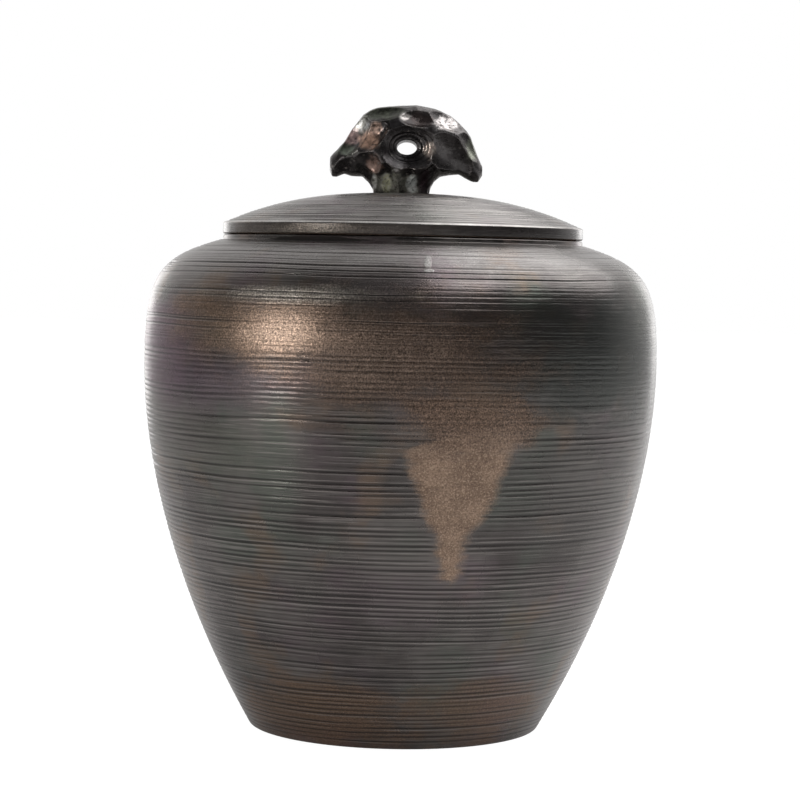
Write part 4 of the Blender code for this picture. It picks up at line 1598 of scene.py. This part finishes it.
@dataclass
class Studio:
    """A pale table, a white surround and soft lamps, seen from the photograph's place."""

    distance: float = 981 * MM
    eye_height: float = 181.5 * MM
    aim_height: float = 127.4 * MM
    lens: float = 112.67
    aside: float = 0.0006
    roll: float = 1.17
    # The surround's light from above counts by this much, and grows from front to back
    ceiling: float = 0.45
    dim: float = 0.05
    bright_from: float = 0.90
    # How much of the table is its own glow, and how much of that glow mirrors show
    table_glow: float = 1.15
    glow_share: float = 0.86
    mirrored_share: float = 0.18
    panel_height: float = 1020 * MM
    panel_strength: float = 3.3
    panel_edge: tuple[tuple[float, float], ...] = (
        (0.07, 1.05), (0.09, 0.34), (0.14, -0.10), (0.25, -0.82), (0.61, -0.73), (0.92, -0.50), (1.24, -0.12),
        (1.59, 0.62), (1.72, 1.05))
    box: Lamp = Lamp("left_box", (-1.20, -0.92, 0.36), (0, 0, 0.15), (0.50, 0.26), 5.5, (1.0, 0.97, 0.94))
    cards: tuple[Lamp, ...] = (
        Lamp("edge_card", (-0.62, 1.27, 0.24), (0, 0, 0.14), (0.34, 0.46), 1.3),
        Lamp("edge_card", (0.62, 1.27, 0.24), (0, 0, 0.14), (0.34, 0.46), 0.8))

    def camera(self) -> None:
        """Set the camera up."""
        data = bpy.data.cameras.new("camera")
        data.lens = self.lens
        data.sensor_width = 36
        data.shift_x = self.aside
        camera = bpy.data.objects.new("camera", data)
        bpy.context.scene.collection.objects.link(camera)
        eye = Vector((0, -self.distance, self.eye_height))
        look = Vector((0, 0, self.aim_height)) - eye
        turn = look.to_track_quat("-Z", "Y").to_matrix() @ Matrix.Rotation(math.radians(self.roll), 3, "Z")
        camera.matrix_world = Matrix.LocRotScale(eye, turn.to_quaternion(), None)
        bpy.context.scene.camera = camera

    def panel(self) -> None:
        """Hang the wide soft panel that shines on the right of the shoulder."""
        Bench.clear()
        bpy.ops.mesh.primitive_circle_add(vertices=len(self.panel_edge), fill_type="NGON",
                                          location=(0, 0, self.panel_height))
        panel = bpy.context.object
        panel.name = "soft_panel"
        for vertex, (across, back) in zip(panel.data.vertices, self.panel_edge):
            vertex.co = (across, back, 0)
        palette = Palette("panel_light")
        glow = palette.add("ShaderNodeEmission", (1, 1, 1), self.panel_strength)
        palette.surface(glow)
        panel.data.materials.append(palette.material)
        panel.visible_camera = False

    def surround(self) -> None:
        """Light the room white behind the jar and dim in front of it."""
        world = bpy.data.worlds.new("studio")
        bpy.context.scene.world = world
        world.use_nodes = True
        nodes = Nodes(world.node_tree, "Generated")
        _, back, up = nodes.axes()
        light = nodes.sum("MULTIPLY_ADD", up, self.ceiling, back)
        ramp = nodes.span(light, 0.0, self.bright_from, self.dim, 1.0)
        seen = nodes.sum("MAXIMUM", nodes.ray("Camera"), nodes.ray("Transmission"))
        strength = nodes.add("ShaderNodeMix", seen)
        nodes.feed(strength.inputs[2], ramp)
        nodes.feed(strength.inputs[3], 1.0)
        nodes.fill(world.node_tree.nodes["Background"].inputs, color=(1, 1, 1), strength=strength.outputs[0])

    def floor(self) -> None:
        """Lay the pale table, white to the camera but for the jar's shadow."""
        Bench.clear()
        bpy.ops.mesh.primitive_plane_add(size=12, location=(0, 0, 0))
        floor = bpy.context.object
        floor.name = "table"
        palette = Palette("pale_table")
        palette.finish(base_color=(0.82, 0.82, 0.82), roughness=0.9)
        glow = palette.add("ShaderNodeEmission", (1, 1, 1), self.table_glow)
        share = palette.sum("MULTIPLY_ADD", palette.ray("Camera"), self.glow_share,
                            palette.times(palette.ray("Glossy"), self.mirrored_share))
        palette.surface(palette.add("ShaderNodeMixShader", share, palette.shader.outputs[0], glow.outputs[0]))
        floor.data.materials.append(palette.material)

    def build(self) -> None:
        """Set up the whole studio."""
        bpy.context.scene.view_settings.view_transform = "Standard"
        self.camera()
        self.surround()
        self.floor()
        self.box.hang()
        self.panel()
        for card in self.cards:
            card.hang()


def place(piece: Piece, body: Body, slot: Slot, node: str) -> None:
    """Let a finished piece ride on its body in place of its CAD node, and report it.

    Args:
        piece: The piece.
        body: The body that it moves with.
        slot: Its finish in the record. Not used.
        node: The CAD node that it stands for.
    """
    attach(piece, body.value)
    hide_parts(node)
    LOG.info("%s: %d faces on %s", piece.name, len(piece.data.polygons), body.value)


def main() -> None:
    """Build and dress the caddy, then set it in the studio."""
    logging.basicConfig(level=logging.INFO, format="%(name)s %(message)s")
    place(Jar().build(), Body.JAR, Slot.BODY, "jar_body")
    place(Lid().build(), Body.LID, Slot.LID, "lid")
    place(Seal().build(), Body.SEAL, Slot.SEAL, "seal_ring")
    place(Knob().build(), Body.LID, Slot.KNOB, "knob")
    Studio().build()


if __name__ == "__main__":
    main()
